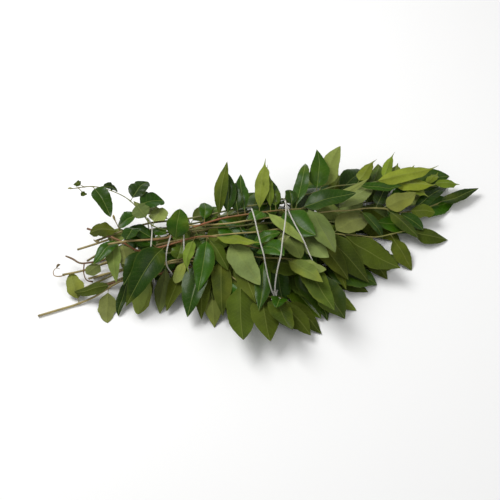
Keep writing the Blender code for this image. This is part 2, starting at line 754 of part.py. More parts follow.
def join(name, base, others, material):
    """Makes one body of a base and the solids that grow out of it."""
    group = bpy.data.collections.new(name)
    for other in others:
        group.objects.link(other)
    union = base.modifiers.new("Union", "BOOLEAN")
    union.operation = "UNION"
    union.operand_type = "COLLECTION"
    union.collection = group
    union.solver = "EXACT"
    bpy.context.view_layer.objects.active = base
    base.select_set(True)
    bpy.ops.object.modifier_apply(modifier=union.name)
    for other in others:
        bpy.data.objects.remove(other)
    bpy.data.collections.remove(group)
    base.data.materials.clear()
    base.data.materials.append(material)
    base.name = name
    return base


def new_material(name, colour, roughness):
    material = bpy.data.materials.new(name)
    material.use_nodes = True
    shader = material.node_tree.nodes["Principled BSDF"]
    shader.inputs["Base Color"].default_value = (*colour, 1)
    shader.inputs["Roughness"].default_value = roughness
    return material


def build(sprigs, line, sides):
    dark = new_material("LeafTop", (0.030, 0.085, 0.018), 0.35)
    pale = new_material("LeafUnderside", (0.14, 0.19, 0.055), 0.6)
    cotton = new_material("CottonTwine", (0.78, 0.76, 0.68), 0.9)
    for number, laid in enumerate(sprigs):
        stalk = add_stalk("stalk", laid)
        leaflets = [add_leaflet(f"leaflet{k}", leaf) for k, leaf in enumerate(laid["leaflets"])]
        side = pale if SPRIGS[number]["turned"] else dark
        join(f"sprig_{number + 1:02d}", stalk, leaflets, side)
    twine = add_tube("twine", line, np.full(len(line), TWINE_RADIUS), sides, TWINE_SIDES)
    bpy.ops.mesh.primitive_ico_sphere_add(subdivisions=2, radius=KNOT_RADIUS, location=KNOT)
    join("twine", twine, [bpy.context.object], cotton)
    centre_on_origin()


def centre_on_origin():
    """Puts the middle of the whole bunch over the origin."""
    corners = np.array([vertex.co for obj in bpy.data.objects for vertex in obj.data.vertices])
    middle = (corners.min(axis=0) + corners.max(axis=0)) / 2
    for obj in bpy.data.objects:
        obj.data.transform(Matrix.Translation((-middle[0], -middle[1], 0)))


if __name__ == "__main__":
    main()
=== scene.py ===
import math
import random

import bpy
import numpy as np
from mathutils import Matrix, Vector


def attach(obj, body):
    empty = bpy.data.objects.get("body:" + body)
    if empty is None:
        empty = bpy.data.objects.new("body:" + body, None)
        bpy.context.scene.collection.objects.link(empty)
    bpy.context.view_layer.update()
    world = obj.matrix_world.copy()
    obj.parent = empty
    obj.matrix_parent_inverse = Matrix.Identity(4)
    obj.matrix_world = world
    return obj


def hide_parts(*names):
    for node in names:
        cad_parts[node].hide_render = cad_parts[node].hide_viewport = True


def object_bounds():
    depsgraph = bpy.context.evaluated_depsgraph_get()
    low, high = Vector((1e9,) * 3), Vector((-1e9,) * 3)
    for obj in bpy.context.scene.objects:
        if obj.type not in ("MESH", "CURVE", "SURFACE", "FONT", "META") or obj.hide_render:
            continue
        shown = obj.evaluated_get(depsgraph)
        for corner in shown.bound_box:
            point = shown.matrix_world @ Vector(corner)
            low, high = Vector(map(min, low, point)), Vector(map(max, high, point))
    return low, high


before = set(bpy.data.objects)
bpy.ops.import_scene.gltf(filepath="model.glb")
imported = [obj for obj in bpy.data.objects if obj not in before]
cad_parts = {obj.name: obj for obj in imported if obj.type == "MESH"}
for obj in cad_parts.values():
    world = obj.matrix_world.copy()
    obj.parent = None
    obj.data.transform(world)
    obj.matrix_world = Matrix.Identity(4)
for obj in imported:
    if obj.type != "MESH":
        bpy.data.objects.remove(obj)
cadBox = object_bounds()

# The layout: the same sprigs, rules and sizes as in the part's own source,
# so that each leaf lies where its solid does.

mm = 0.001

# Leaflets
leafLength = 49 * mm  # blade of a full-grown leaflet
leafWidth = 22 * mm
bladeThickness = 0.9 * mm  # along the midrib
longest = 62 * mm  # with its stalklet
stalkletLength = 4.5 * mm  # from the middle of the stalk to the blade
stalkletRadius = 0.55 * mm
clearance = 0.35 * mm  # between one piece and the next
bend = 0.42  # the most that a blade bends up or down from its own curve, as a slope
mostSag = 7 * mm  # how far it sags from its own curve
rootZone = 5 * mm  # round its root a leaflet meets only its own stalk

# Stalks
stalkRadiusCut = 1.1 * mm
stalkRadiusTip = 0.6 * mm
stalkStep = 17 * mm
stalkBendRadius = 70 * mm  # the tightest arch of a stalk over the heap

# Twine
twineRadius = 0.7 * mm
twineSides = 6
postZone = 2.1 * mm  # kept free of leaves where the twine runs down between them
knot = np.array((6, -53.5, 7)) * mm  # ties two turns together on the near side
knotRadius = 2.6 * mm

# A leaflet's outline: share of the blade's length, share of its half width, share of its thickness
longBlade = ((0.0, 0.07, 1.0), (0.15, 0.72, 1.0), (0.40, 1.0, 1.0), (0.68, 0.73, 0.9), (0.89, 0.27, 0.8))
roundBlade = ((0.0, 0.09, 1.0), (0.20, 0.80, 1.0), (0.52, 1.0, 1.0), (0.84, 0.62, 0.8))

# Each sprig, from the bottom of the heap up. "way" is its stalk's way over the table in mm, cut end first.
# Hidden sprigs have so many "pairs" of leaflets from "bare" mm on, at a "slope" in degrees, -20 if none is
# given. "turned" has the pale underside up.
# Sprigs in sight name their leaflets: where each starts and ends in mm, its width, and the side that shows,
# with its slope in degrees where it stands up, and True where it is laid last of all. A "loose" sprig lies
# over the twine, "held" is how high the heap holds it at a place along it, and "radii" make it thin.
sprigs = (
    {"way": ((-142, 4), (-75, 6), (-10, -26), (32, -50)), "pairs": 6, "bare": 40, "turned": True},
    {"way": ((-138, 20), (-75, 25), (20, 14), (100, 30)), "pairs": 4, "bare": 80},
    {"way": ((-146, -6), (-75, -3), (10, -30), (78, -42)), "pairs": 6, "bare": 40, "turned": True},
    {"way": ((-130, 26), (-75, 22), (40, 12), (146, 22)), "pairs": 5, "bare": 50, "turned": True},
    {
        "way": ((-135, -8), (-88, -10), (-58, -13), (-30, -34), (-8, -54)), "pairs": 5, "bare": 16,
        "turned": True,
    },
    {
        "way": ((-148, 14), (-120, 11), (-75, 10), (25, 4), (130, 14)), "pairs": 6, "bare": 60,
        "turned": True,
    },
    {
        "way": ((-158, -8), (-75, 0), (5, -30), (50, -46)), "pairs": 6, "bare": 50, "turned": True,
        "slope": -25,
    },
    {"way": ((-144, 20), (-75, 23), (10, 18), (50, 19), (88, 30)), "pairs": 4, "bare": 75, "slope": -10},
    {"way": ((-128, 14), (-75, 17), (50, -8), (146, -6)), "pairs": 5, "bare": 70, "slope": -15},
    {
        "way": ((-146, -2), (-88, -9), (-60, -14), (-34, -33), (-14, -56), (10, -66)), "turned": True,
        "leaflets": (
            (-83, -10, -102, -44, 16, "pale"), (-62, -13, -78, -48, 15, "olive"),
            (-48, -21, -60, -58, 16, "olive"), (-28, -38, -38, -60, 18, "dark"),
            (-22, -46, -48, -112, 25, "olive"), (-8, -58, -26, -98, 24, "olive"),
            (8, -65, -4, -112, 20, "olive"), (6, -65, 22, -100, 17, "olive"),
            (10, -66, 36, -96, 18, "olive"),
        ),
    },
    {
        "way": (
            (-194, -22), (-150, -18), (-115, -15), (-88, -11), (-60, -13), (-20, -24), (24, -42), (44, -57),
        ),
        "turned": True,
        "leaflets": (
            (-158, -20, -161, 10, 15, "pale"), (-130, -18, -154, -5, 11, "olive"),
            (-131, -18, -138, -41, 16, "pale"), (-112, -15, -128, -36, 9, "dark"),
            (-97, -12, -112, -37, 15, "pale"), (-102, -13, -114, -36, 18, "pale"),
            (-58, -13, -70, -30, 10, "pale"), (-46, -16, -70, -54, 22, "dark"),
            (-32, -20, -56, -60, 17, "olive"), (-20, -24, -18, -68, 17, "olive"),
            (8, -36, -3, -80, 14, "dark"), (18, -40, 38, -76, 14, "pale"), (28, -44, 44, -94, 19, "olive"),
            (24, -42, 42, -66, 12, "pale"), (44, -57, 60, -118, 24, "dark"),
        ),
    },
    {
        "way": ((-167, 8), (-150, 8), (-75, 6), (0, -8), (56, -20), (100, -27), (138, -26)), "turned": True,
        "leaflets": (
            (-130, 8, -146, 0, 12, "pale"), (-100, 8, -114, -8, 17, "pale"),
            (-40, 0, -30, -34, 12, "olive"), (20, -12, 30, -44, 20, "pale"), (33, -15, 42, -54, 18, "pale"),
            (44, -17, 52, -60, 20, "olive"), (60, -21, 74, -80, 25, "olive"),
            (62, -22, 62, -68, 13, "olive"), (62, -22, 104, -8, 23, "pale"),
            (86, -25, 98, -62, 17, "olive"), (74, -24, 117, -50, 23, "olive"),
            (100, -27, 116, -48, 14, "olive"), (118, -27, 128, -64, 16, "olive"),
            (138, -26, 173, -38, 16, "olive"),
        ),
    },
    {
        "way": ((-150, 28), (-75, 20), (0, 2), (60, -4), (110, -2), (146, -6), (172, -2)),
        "leaflets": (
            (-80, 21, -98, 8, 17, "dark"), (-110, 25, -104, 7, 12, "dark"),
            (-100, 24, -122, 26, 14, "pale"), (74, -4, 124, 13, 18, "pale"), (96, -3, 110, -24, 10, "dark"),
            (112, -2, 142, 22, 12, "dark"), (118, -3, 150, 3, 18, "pale"), (122, -4, 138, -30, 13, "olive"),
            (131, -7, 152, -20, 12, "dark"), (144, -6, 164, -14, 13, "olive"),
            (146, -6, 190, 18, 12, "dark"), (172, -2, 213, 6, 13, "dark", 18),
        ),
    },
    {
        "way": ((-134, 22), (-75, 25), (0, 17), (40, 18), (90, 26), (130, 27), (160, 20), (178, 15)),
        "turned": True,
        "leaflets": (
            (64, 21, 88, 56, 18, "dark", 16), (-66, 24, -88, 38, 14, "pale"),
            (67, 22, 106, 54, 19, "pale", 14), (42, 18, 66, 17, 12, "dark", None, True),
            (100, 27, 144, 26, 9, "dark"), (104, 27, 131, 52, 12, "bright", 8),
            (120, 27, 184, 23, 14, "bright"), (128, 27, 151, 60, 9, "bright", 10),
            (134, 26, 172, 8, 14, "bright"), (138, 26, 152, 50, 8, "bright", 8),
            (146, 24, 162, 2, 12, "bright"), (148, 24, 165, 45, 8, "bright", 8),
            (166, 19, 188, 27, 8, "bright"), (172, 17, 196, 15, 9, "bright"),
        ),
    },
    {
        "way": ((-138, 35), (-115, 15), (-99, 2), (-70, 1), (-42, 0), (-28, -8), (-11, -18), (14, -28)),
        "turned": True,
        "leaflets": (
            (-112, 12, -126, 4, 13, "dark"), (-119, 19, -124, -11, 13, "pale"),
            (-112, 12, -107, -6, 16, "pale"), (-62, 1, -69, -13, 14, "dark"),
            (-40, -1, -55, -48, 17, "dark"), (-24, -10, -9, -57, 21, "pale"),
            (-8, -20, 18, -28, 12, "dark"), (0, -23, 13, -56, 20, "dark"), (10, -27, 38, -49, 12, "pale"),
            (-84, 2, -98, 22, 16, "dark"), (-90, 1, -118, -20, 19, "dark"),
            (-77, 1, -126, -25, 23, "dark", None, True), (-68, 1, -53, 32, 19, "dark", 10, True),
            (-55, 1, -64, -28, 9, "bright", None, True), (-36, -3, 7, -22, 11, "bright", None, True),
        ),
    },
    {
        "way": ((-124, 6), (-99, 6), (-70, 8), (-46, 11), (-21, 11), (1, 8), (30, 6), (60, 3)),
        "leaflets": (
            (-27, 11, -5, 58, 11, "olive", 20), (-20, 11, -8, 50, 13, "dark", 20),
            (-4, 9, 6, 50, 12, "dark", 18), (18, 7, 30, 50, 9, "bright", 16),
            (4, 8, 12, 56, 14, "bright", 18), (11, 7, -14, -7, 14, "dark"), (14, 7, 30, -40, 9, "pale"),
            (24, 7, 45, -34, 25, "dark"), (50, 4, 49, -62, 23, "pale"), (44, 5, 58, 54, 13, "dark", 16),
            (54, 4, 108, 10, 9, "pale"), (48, 4, 94, 4, 20, "dark"), (-84, 7, -104, 22, 13, "dark"),
            (-70, 8, -82, 19, 12, "dark"), (-56, 10, -70, 21, 11, "dark"),
            (-40, 11, -30, 34, 11, "dark", 16), (-10, 10, -5, 40, 12, "dark", 18),
            (31, 6, 36, 36, 11, "dark", 24), (37, 6, 42, 24, 11, "dark", 12),
        ),
    },
    {
        "way": ((-143, 70), (-128, 68), (-109, 55), (-100, 45), (-92, 30), (-85, 15), (-72, 9), (-50, 8)),
        "loose": True, "radii": (0.42, 0.6), "held": ((0, 46), (20, 47), (40, 49), (60, 50)),
        "leaflets": (
            (-138, 69, -134, 62, 5, "olive", -20), (-132, 69, -140, 75, 6, "olive", 5),
            (-126, 67, -109, 38, 16, "dark", -20), (-121, 64, -104, 62, 7, "dark", 0),
            (-97, 41, -80, 62, 15, "dark", 5), (-93, 33, -70, 44, 18, "dark", 5),
            (-91, 28, -118, 30, 14, "dark"), (-87, 18, -94, 34, 15, "pale"),
            (-84, 14, -76, 36, 15, "pale", 0),
        ),
    },
)

# The twine's turns round the bunch: where each goes up on the near side and down on the far side.
turns = mm * np.array((
    ((-92, -16), (-86, 31)),
    ((-76, -18), (-66, 31)),
    ((-62, -21), (-50, 31)),
    ((4, -53), (6, 25)),
    ((8, -53), (34, 25)),
    ((46, -50), (42, 26)),
))


def spreadWeights(parts):
    return np.array([(i, j, parts - i - j) for i in range(parts + 1) for j in range(parts + 1 - i)]) / parts


lattice = spreadWeights(8)


class Heap:
    # How high the heap is at each place: all of it, and without the sprig that is being laid.
    cell = 1 * mm
    low = np.array((-260, -170)) * mm

    def __init__(self):
        self.tops = {"all": np.full((560, 350), -clearance)}

    def setApart(self, sprig):
        self.tops[sprig] = self.tops["all"].copy()

    def cells(self, points):
        index = ((points[..., :2] - self.low) / self.cell).astype(int)
        return index[..., 0], index[..., 1]

    def height(self, points, sprig="all"):
        return self.tops[sprig][self.cells(points)]

    def cover(self, points, sprig=None):
        i, j = self.cells(points)
        for key, top in self.tops.items():
            if key != sprig:
                for di in (-1, 0, 1):
                    for dj in (-1, 0, 1):
                        np.maximum.at(top, (i + di, j + dj), points[..., 2])


def facetPoints(corners, triangles):
    # Points spread over each triangle.
    return np.einsum("pc,tcx->tpx", lattice, corners[triangles])


def unit(vectors):
    return vectors / np.linalg.norm(vectors, axis=-1, keepdims=True)


def stepsAlong(line):
    return np.concatenate([[0], np.cumsum(np.linalg.norm(np.diff(line, axis=0), axis=1))])


def onLine(at, places, line, between=np.interp):
    return np.stack([between(at, places, axis) for axis in line.T], -1)


def hermite(at, places, values):
    places, values = np.array(places), np.array(values)
    slopes = np.gradient(values, places)
    k = np.clip(np.searchsorted(places, at) - 1, 0, len(places) - 2)
    span = places[k + 1] - places[k]
    t = (at - places[k]) / span
    first = (2 * t**3 - 3 * t**2 + 1) * values[k] + (t**3 - 2 * t**2 + t) * span * slopes[k]
    return first + (3 * t**2 - 2 * t**3) * values[k + 1] + (t**3 - t**2) * span * slopes[k + 1]


def smoothWay(points, step):
    # A curve through the points, in even steps of about this length.
    points = np.array(points, float)
    ends = np.vstack([2 * points[0] - points[1], points, 2 * points[-1] - points[-2]])
    t = np.linspace(0, 1, 40, endpoint=False)[:, None]
    fine = []
    for a, b, c, d in zip(ends, ends[1:], ends[2:], ends[3:]):
        square, cube = (2 * a - 5 * b + 4 * c - d) * t**2, (3 * b - a - 3 * c + d) * t**3
        fine.append(0.5 * (2 * b + (c - a) * t + square + cube))
    fine = np.vstack([*fine, points[-1:]])
    along = stepsAlong(fine)
    count = max(2, round(along[-1] / step) + 1)
    wanted = np.linspace(0, along[-1], count)
    return onLine(wanted, along, fine), wanted


def newLeaflet(rng, sprig, root, heading, length, width, turned, slope):
    def degrees(least, most):
        return math.radians(rng.uniform(least, most))

    return {
        "sprig": sprig["number"], "root": np.array(root), "turned": turned, "last": False,
        "heading": heading, "length": length, "width": width, "slope": slope,
        "outline": longBlade if length > 0.5 * leafLength else roundBlade,
        "droop": degrees(-15, 28) if turned else degrees(5, 45),
        "sweep": degrees(-14, 14), "roll": degrees(-12, 12), "twist": degrees(-16, 16),
        "fold": degrees(4, 13) * (-1 if turned else 1), "turns": (0, 9, -9, 18, -18, 28, -28),
    }


def ribFrame(leaf, share, heading, slope, roll):
    # Places on the rib, the way across the blade there, and the way out of it.
    steps = np.linspace(0, 1, 33)
    yaw = heading + leaf["sweep"] * steps
    tilt = slope - leaf["droop"] * steps
    ahead = np.stack([np.cos(tilt) * np.cos(yaw), np.cos(tilt) * np.sin(yaw), np.sin(tilt)], 1)
    reach = (stalkletLength + leaf["length"]) / (len(steps) - 1)
    line = np.vstack([np.zeros(3), np.cumsum((ahead[1:] + ahead[:-1]) / 2 * reach, axis=0)]) + leaf["root"]
    point = onLine(share, steps, line)
    yaw = heading + leaf["sweep"] * share
    tilt = slope - leaf["droop"] * share
    turn = roll + leaf["twist"] * share
    level = np.stack([-np.sin(yaw), np.cos(yaw), np.zeros_like(yaw)], 1)
    above = np.stack([-np.sin(tilt) * np.cos(yaw), -np.sin(tilt) * np.sin(yaw), np.cos(tilt)], 1)
    cos, sin = np.cos(turn)[:, None], np.sin(turn)[:, None]
    return point, level * cos + above * sin, above * cos - level * sin


def bladeSections(leaf):
    # Where a blade's sections are, how wide and how thick each is.
    whole = stalkletLength + leaf["length"]
    shares, widths, thicks = [0.0], [stalkletRadius], [stalkletRadius]
    for along, wide, thick in leaf["outline"]:
        shares.append((stalkletLength + along * leaf["length"]) / whole)
        widths.append(max(wide * leaf["width"] / 2, stalkletRadius))
        thicks.append(thick * bladeThickness / 2)
    return np.array(shares), np.array(widths), np.array(thicks)


def liftedRib(leaf, share):
    point, across, out = ribFrame(leaf, share, leaf["heading"], leaf["slope"], leaf["roll"])
    point[:, 2] += hermite(share, np.append(bladeSections(leaf)[0], 1.0), leaf["lift"])
    return point, across, out


def bladeCorners(leaf, heading, slope, roll):
    shares, widths, thicks = bladeSections(leaf)
    point, across, out = ribFrame(leaf, np.append(shares, 1.0), heading, slope, roll)
    tip, point, across, out = point[-1:], point[:-1], across[:-1], out[:-1]
    cos, sin = math.cos(leaf["fold"]), math.sin(leaf["fold"])
    left = point + (across * cos + out * sin) * widths[:, None]
    right = point + (-across * cos + out * sin) * widths[:, None]
    top = point + out * thicks[:, None]
    bottom = point - out * thicks[:, None]
    return np.vstack([np.stack([left, top, right, bottom], 1).reshape(-1, 3), tip])


def bladeTriangles(sections):
    upper, lower, first = [], [], []
    for k in range(sections - 1):
        left, top, right, bottom = range(4 * k, 4 * k + 4)
        left2, top2, right2, bottom2 = range(4 * k + 4, 4 * k + 8)
        upper += [(left, top, top2), (left, top2, left2), (top, right, right2), (top, right2, top2)]
        lower += [(left, bottom2, bottom), (left, left2, bottom2)]
        lower += [(bottom, right2, right), (bottom, bottom2, right2)]
        first += [k] * 4
    left, top, right, bottom = range(4 * sections - 4, 4 * sections)
    tip = 4 * sections
    upper += [(left, top, tip), (top, right, tip)]
    lower += [(left, tip, bottom), (bottom, tip, right)]
    first += [sections - 1] * 2
    return np.array(upper), np.array(lower), np.array(first)


blades = {len(outline) + 1: bladeTriangles(len(outline) + 1) for outline in (longBlade, roundBlade)}


def settle(heap, leaf, corners):
    # How far each section rises or sags to rest on the heap, or None where the blade can't bend so far.
    sections = len(leaf["outline"]) + 1
    _, lower, first = blades[sections]
    points = facetPoints(corners, lower)
    fromRoot = np.hypot(points[..., 0] - leaf["root"][0], points[..., 1] - leaf["root"][1])
    height = np.where(fromRoot < rootZone, heap.height(points, leaf["sprig"]), heap.height(points))
    need = height + clearance - points[..., 2]
    if need[first == 0].max() > 0:
        return None
    held = (lattice @ (lower[first == 1] >= 8).T).T
    near = need[first == 1]
    if near[held < 0.2].max() > 0:
        return None
    lift = np.full(sections + 1, -mostSag)
    lift[1] = 0
    lift[2] = max(lift[2], (near[held >= 0.2] / held[held >= 0.2]).max())
    for k in range(2, sections):
        lift[k : k + 2] = np.maximum(lift[k : k + 2], need[first == k].max())
    shares = np.append(bladeSections(leaf)[0], 1.0) * (stalkletLength + leaf["length"])
    reach = np.abs(shares[:, None] - shares) * bend
    lift = (lift - reach)[:, 1:].max(axis=1)
    lift[0] = 0
    return None if lift[1] > 0 else lift


def clearOfPosts(posts, corners, leaf):
    # Whether the blade keeps away from where the twine runs down.
    sections = len(leaf["outline"]) + 1
    points = facetPoints(corners, blades[sections][0])[..., :2].reshape(-1, 2)
    return all(np.hypot(*(points - post).T).min() > zone for post, zone in posts)


def layLeaflet(heap, posts, leaf):
    for way in leaf.get("ways", ({}, {"length": 0.8 * leaf["length"]})):
        laid = restLeaflet(heap, posts, {**leaf, **way})
        if laid:
            return laid
    return None


def restLeaflet(heap, posts, leaf):
    # The leaflet in the lowest pose that clears the heap.
    best = None
    for turn in leaf["turns"]:
        for roll in (0, 14, -14):
            heading = leaf["heading"] + math.radians(turn)
            rolled = leaf["roll"] + math.radians(roll)
            for slope in np.arange(leaf["slope"], math.radians(64), math.radians(4)):
                corners = bladeCorners(leaf, heading, slope, rolled)
                lift = settle(heap, leaf, corners)
                if lift is not None:
                    break
            else:
                continue
            if not clearOfPosts(posts, corners, leaf):
                continue
            raised = corners[:, 2].mean() + lift[1:].mean() - leaf["root"][2]
            score = raised + 0.12 * mm * abs(turn) + 0.08 * mm * abs(roll)
            if best is None or score < best[0]:
                best = (score, heading, slope, rolled, corners, lift)
    if best is None:
        return None
    _, heading, slope, rolled, corners, lift = best
    corners = corners.copy()
    corners[:-1, 2] += np.repeat(lift[:-1], 4)
    corners[-1, 2] += lift[-1]
    heap.cover(facetPoints(corners, blades[len(leaf["outline"]) + 1][0]))
    return {**leaf, "heading": heading, "slope": slope, "roll": rolled, "lift": lift, "corners": corners}


def layStalk(heap, sprig):
    # The stalk arches over what lies below it.
    heap.setApart(sprig["number"])
    way, along = smoothWay(np.array(sprig["way"]) * mm, stalkStep)
    cut, tip = np.array(sprig["radii"]) * mm if "radii" in sprig else (stalkRadiusCut, stalkRadiusTip)
    radii = cut + (tip - cut) * along / along[-1]
    fine = np.arange(0, along[-1], 1.5 * mm)
    plan = onLine(fine, along, way)
    ahead = unit(np.gradient(plan, axis=0))
    sideways = np.stack([-ahead[:, 1], ahead[:, 0]], 1)
    need = np.full(len(fine), -1.0)
    for offset in np.arange(-2.5, 2.6, 1) * mm:
        need = np.maximum(need, heap.height(plan + sideways * offset))
    need += clearance + np.interp(fine, along, radii)
    apart = along[:, None] - fine
    z = (need - apart**2 / (2 * stalkBendRadius)).max(axis=1)
    for at, height in sprig.get("held", ()):
        z = np.maximum(z, height * mm - (along - at * mm) ** 2 / (2 * stalkBendRadius))
    short = (need - np.interp(fine, along, z)).max()
    z += max(short, 0)
    line = np.column_stack([way, z])
    for offset in (-1, 0, 1):
        edge = plan + sideways * offset * stalkRadiusCut
        heap.cover(np.column_stack([edge, np.interp(fine, along, z + radii)]), sprig["number"])
    return line, along, radii


def leafletsByRule(heap, rng, sprig, line, along):
    whole = along[-1]
    bare = sprig["bare"] * mm
    pairs = sprig["pairs"]
    gap = (whole - bare - 6 * mm) / pairs
    places = []
    for pair in range(pairs):
        for side in (1, -1):
            at = bare + gap * (pair + 0.35 + 0.16 * side + rng.uniform(-0.08, 0.08))
            places.append((at, side, pair / (pairs - 1)))
    places.append((whole - 0.5 * mm, 0, 1.0))
    for at, side, part in places:
        root = onLine(at, along, line)
        ahead = line[min(np.searchsorted(along, at), len(along) - 1)] - line[np.searchsorted(along, at) - 1]
        spread = 72 - 26 * part + rng.uniform(-11, 11) if side else rng.uniform(-12, 12)
        heading = math.atan2(ahead[1], ahead[0]) + math.radians(spread) * (side or 1)
        grown = min(1.0, 0.5 + 1.15 * part) * rng.uniform(0.88, 1.1)
        length = leafLength * grown
        width = leafWidth * grown * (1.28 - 0.28 * min(1, 2.2 * part)) * rng.uniform(0.9, 1.1)
        turned = sprig.get("turned", False) != (rng.random() < 0.18)
        slope = math.radians(sprig.get("slope", -20) + rng.uniform(-22, 8))
        yield newLeaflet(rng, sprig, root, heading, length, width, turned, slope)


def leafletsByName(heap, rng, sprig, line, along):
    fine = np.arange(0, along[-1], 0.5 * mm)
    stalk = onLine(fine, along, line)
    for x, y, tipX, tipY, width, sideUp, *more in sprig["leaflets"]:
        nearest = np.hypot(stalk[:, 0] - x * mm, stalk[:, 1] - y * mm).argmin()
        raised = bool(more) and more[0] is not None
        slope = math.radians(more[0] if raised else rng.uniform(-45, -25))
        leaf = newLeaflet(rng, sprig, stalk[nearest], 0, 1, width * mm, sideUp != "dark", slope)
        leaf["look"] = sideUp
        ways = []
        for shift in (0, 4, -4, 8, -8, 12, -12):
            root = stalk[min(max(nearest + 2 * shift, 0), len(stalk) - 2)]
            tip = np.array((tipX, tipY)) * mm
            reach = tip - root[:2]
            length = np.hypot(*reach) / math.cos(slope)
            if not raised:
                drop = root[2] - max(heap.height(tip), 0)
                length = min(1.04 * np.hypot(np.hypot(*reach), drop), longest)
            length -= stalkletLength
            heading = math.atan2(reach[1], reach[0]) - leaf["sweep"] / 2
            outline = longBlade if length > 0.5 * leafLength else roundBlade
            ways.append({"root": root, "length": length, "heading": heading, "outline": outline})
        yield {**leaf, **ways[0], "ways": ways, "turns": (0, 7, -7, 14, -14), "last": len(more) > 1}


def turnInLine(leaf):
    # Leaflets that point to the tips come first, from the tips back, then the others from the cut ends on.
    x, heading = leaf["root"][0], leaf["heading"]
    return (0, -x) if math.cos(heading) > -0.1 else (1, x)


def laySprig(heap, posts, sprig):
    rng = random.Random(sprig["number"])
    line, along, radii = layStalk(heap, sprig)
    laid, waiting = [], []
    leaflets = leafletsByName if "leaflets" in sprig else leafletsByRule
    for leaf in sorted(leaflets(heap, rng, sprig, line, along), key=turnInLine):
        if leaf["last"]:
            waiting.append(leaf)
            continue
        leaf = layLeaflet(heap, posts, leaf)
        if leaf:
            laid.append(leaf)
    if not waiting:
        heap.tops.pop(sprig["number"])
    return {"line": line, "radii": radii, "leaflets": laid, "waiting": waiting}


def tightOver(places, heights, apart=0):
    # The corners of a line drawn tight over the heights, at least so far apart.
    kept = []
    for s, z in zip(places, heights):
        while len(kept) > 1:
            (s0, z0), (s1, z1) = kept[-2:]
            if (z1 - z0) * (s - s0) > (z - z0) * (s1 - s0):
                break
            kept.pop()
        if not kept or s - kept[-1][0] > apart or s == places[-1]:
            kept.append((s, z))
    return np.array(kept)


def strandOver(heap, near, far):
    # The points of a strand drawn tight over the heap.
    span = np.linalg.norm(far - near)
    share = np.linspace(0, 1, round(span / mm) + 1)
    plan = near + (far - near) * share[:, None]
    ahead = (far - near) / span
    sideways = np.array((-ahead[1], ahead[0]))
    need = np.max([heap.height(plan + sideways * k * twineRadius) for k in (-1, 0, 1)], axis=0)
    need = need + twineRadius + clearance
    need[0], need[-1] = max(need[:3].max(), 8 * mm), max(need[-3:].max(), 8 * mm)
    kept = tightOver(share * span, need, 3 * mm)
    kept[:, 1] += max((need - np.interp(share * span, *kept.T)).max(), 0)
    return [(*(near + ahead * s), z) for s, z in kept]


def twineBottom():
    # The stretches under the bunch, where each starts and ends.
    (near, far), (lastNear, lastFar) = turns[0], turns[-1]
    stretches = [(near + (far - near) * 0.35, near)]
    stretches += [(far, near) for (_, far), (near, _) in zip(turns, turns[1:])]
    return [*stretches, (lastFar, lastFar + (lastNear - lastFar) * 0.25)]


def twineLine(heap):
    flat = twineRadius * math.cos(math.pi / twineSides)
    bottoms = twineBottom()
    points = [(*bottoms[0][0], flat)]
    for number, (near, far) in enumerate(turns):
        (start, end), (start2, end2) = bottoms[number : number + 2]
        before, after = unit(start - end) * 2 * mm, unit(end2 - start2) * 2 * mm
        points += [(*(near + before), flat), (*near, flat + 2 * mm), *strandOver(heap, near, far)]
        points += [(*far, flat + 2 * mm), (*(far + after), flat)]
    points.append((*bottoms[-1][1], flat))
    return np.array(points)


# Leaflets that fill gaps: whether low in the heap, sprig, root x y, tip x y, width in mm, side that shows
fillers = (
    (True, 11, 12, -37, 9, -68, 19, "dark"),
    (False, 10, 8, -66, -4, -87, 13, "dark"),
    (True, 8, -10, 19, -22, 50, 19, "dark"),
    (True, 8, -26, 20, -33, 48, 19, "olive"),
    (True, 8, 31, 17, 37, 50, 19, "dark"),
    (True, 8, 40, 17, 50, 46, 19, "olive"),
    (False, 14, -110, 23, -134, 27, 15, "olive"),
    (False, 14, -97, 24, -108, 6, 13, "dark"),
)


def layLast(heap, laid, leaf):
    leaf = layLeaflet(heap, [], leaf)
    if leaf:
        laid["leaflets"].append(leaf)


def layFillers(laidSprigs, beneath):
    low = Heap()
    for isLow, number, *leaflet in fillers:
        laid = laidSprigs[number - 1]
        along = stepsAlong(laid["line"][:, :2])
        sprig = {"number": number - 1, "leaflets": (leaflet,)}
        ground = low if isLow else beneath
        ground.tops[number - 1] = np.zeros_like(ground.tops["all"])
        for leaf in leafletsByName(ground, random.Random(number), sprig, laid["line"], along):
            layLast(ground, laid, leaf)


def layAll():
    heap = Heap()
    posts = [(post, postZone) for turn in turns for post in turn]
    posts.append((knot[:2], knotRadius + 1.2 * mm))
    for start, end in twineBottom():
        share = np.linspace(0, 1, 200)[:, None]
        plan = start + (end - start) * share
        heap.cover(np.column_stack([plan, np.full(len(plan), 1.8 * twineRadius)]))
    numbered = [{**sprig, "number": number} for number, sprig in enumerate(sprigs)]
    laidSprigs = [laySprig(heap, posts, sprig) for sprig in numbered if not sprig.get("loose")]
    beneath = Heap()
    beneath.tops["all"] = heap.tops["all"].copy()
    line = twineLine(heap)
    for start, end in zip(line, line[1:]):
        heap.cover(start + (end - start) * np.linspace(0, 1, 60)[:, None] + np.array((0, 0, twineRadius)))
    laidSprigs += [laySprig(heap, [], sprig) for sprig in numbered if sprig.get("loose")]
    for laid in laidSprigs:
        for leaf in laid["waiting"]:
            layLast(heap, laid, leaf)
    layFillers(laidSprigs, beneath)
    return laidSprigs, beneath


laidSprigs, beneathTwine = layAll()
print("layout:", sum(len(laid["leaflets"]) for laid in laidSprigs), "leaflets")

# The part's source puts the middle of the bunch over the origin; the same shift is read off its own box.
outermost = np.vstack([leaf["corners"] for laid in laidSprigs for leaf in laid["leaflets"]])
middle = np.array((outermost[:, 0].max() - cadBox[1][0], outermost[:, 1].min() - cadBox[0][1], 0))
print("shift", (middle / mm).round(3))


# Materials

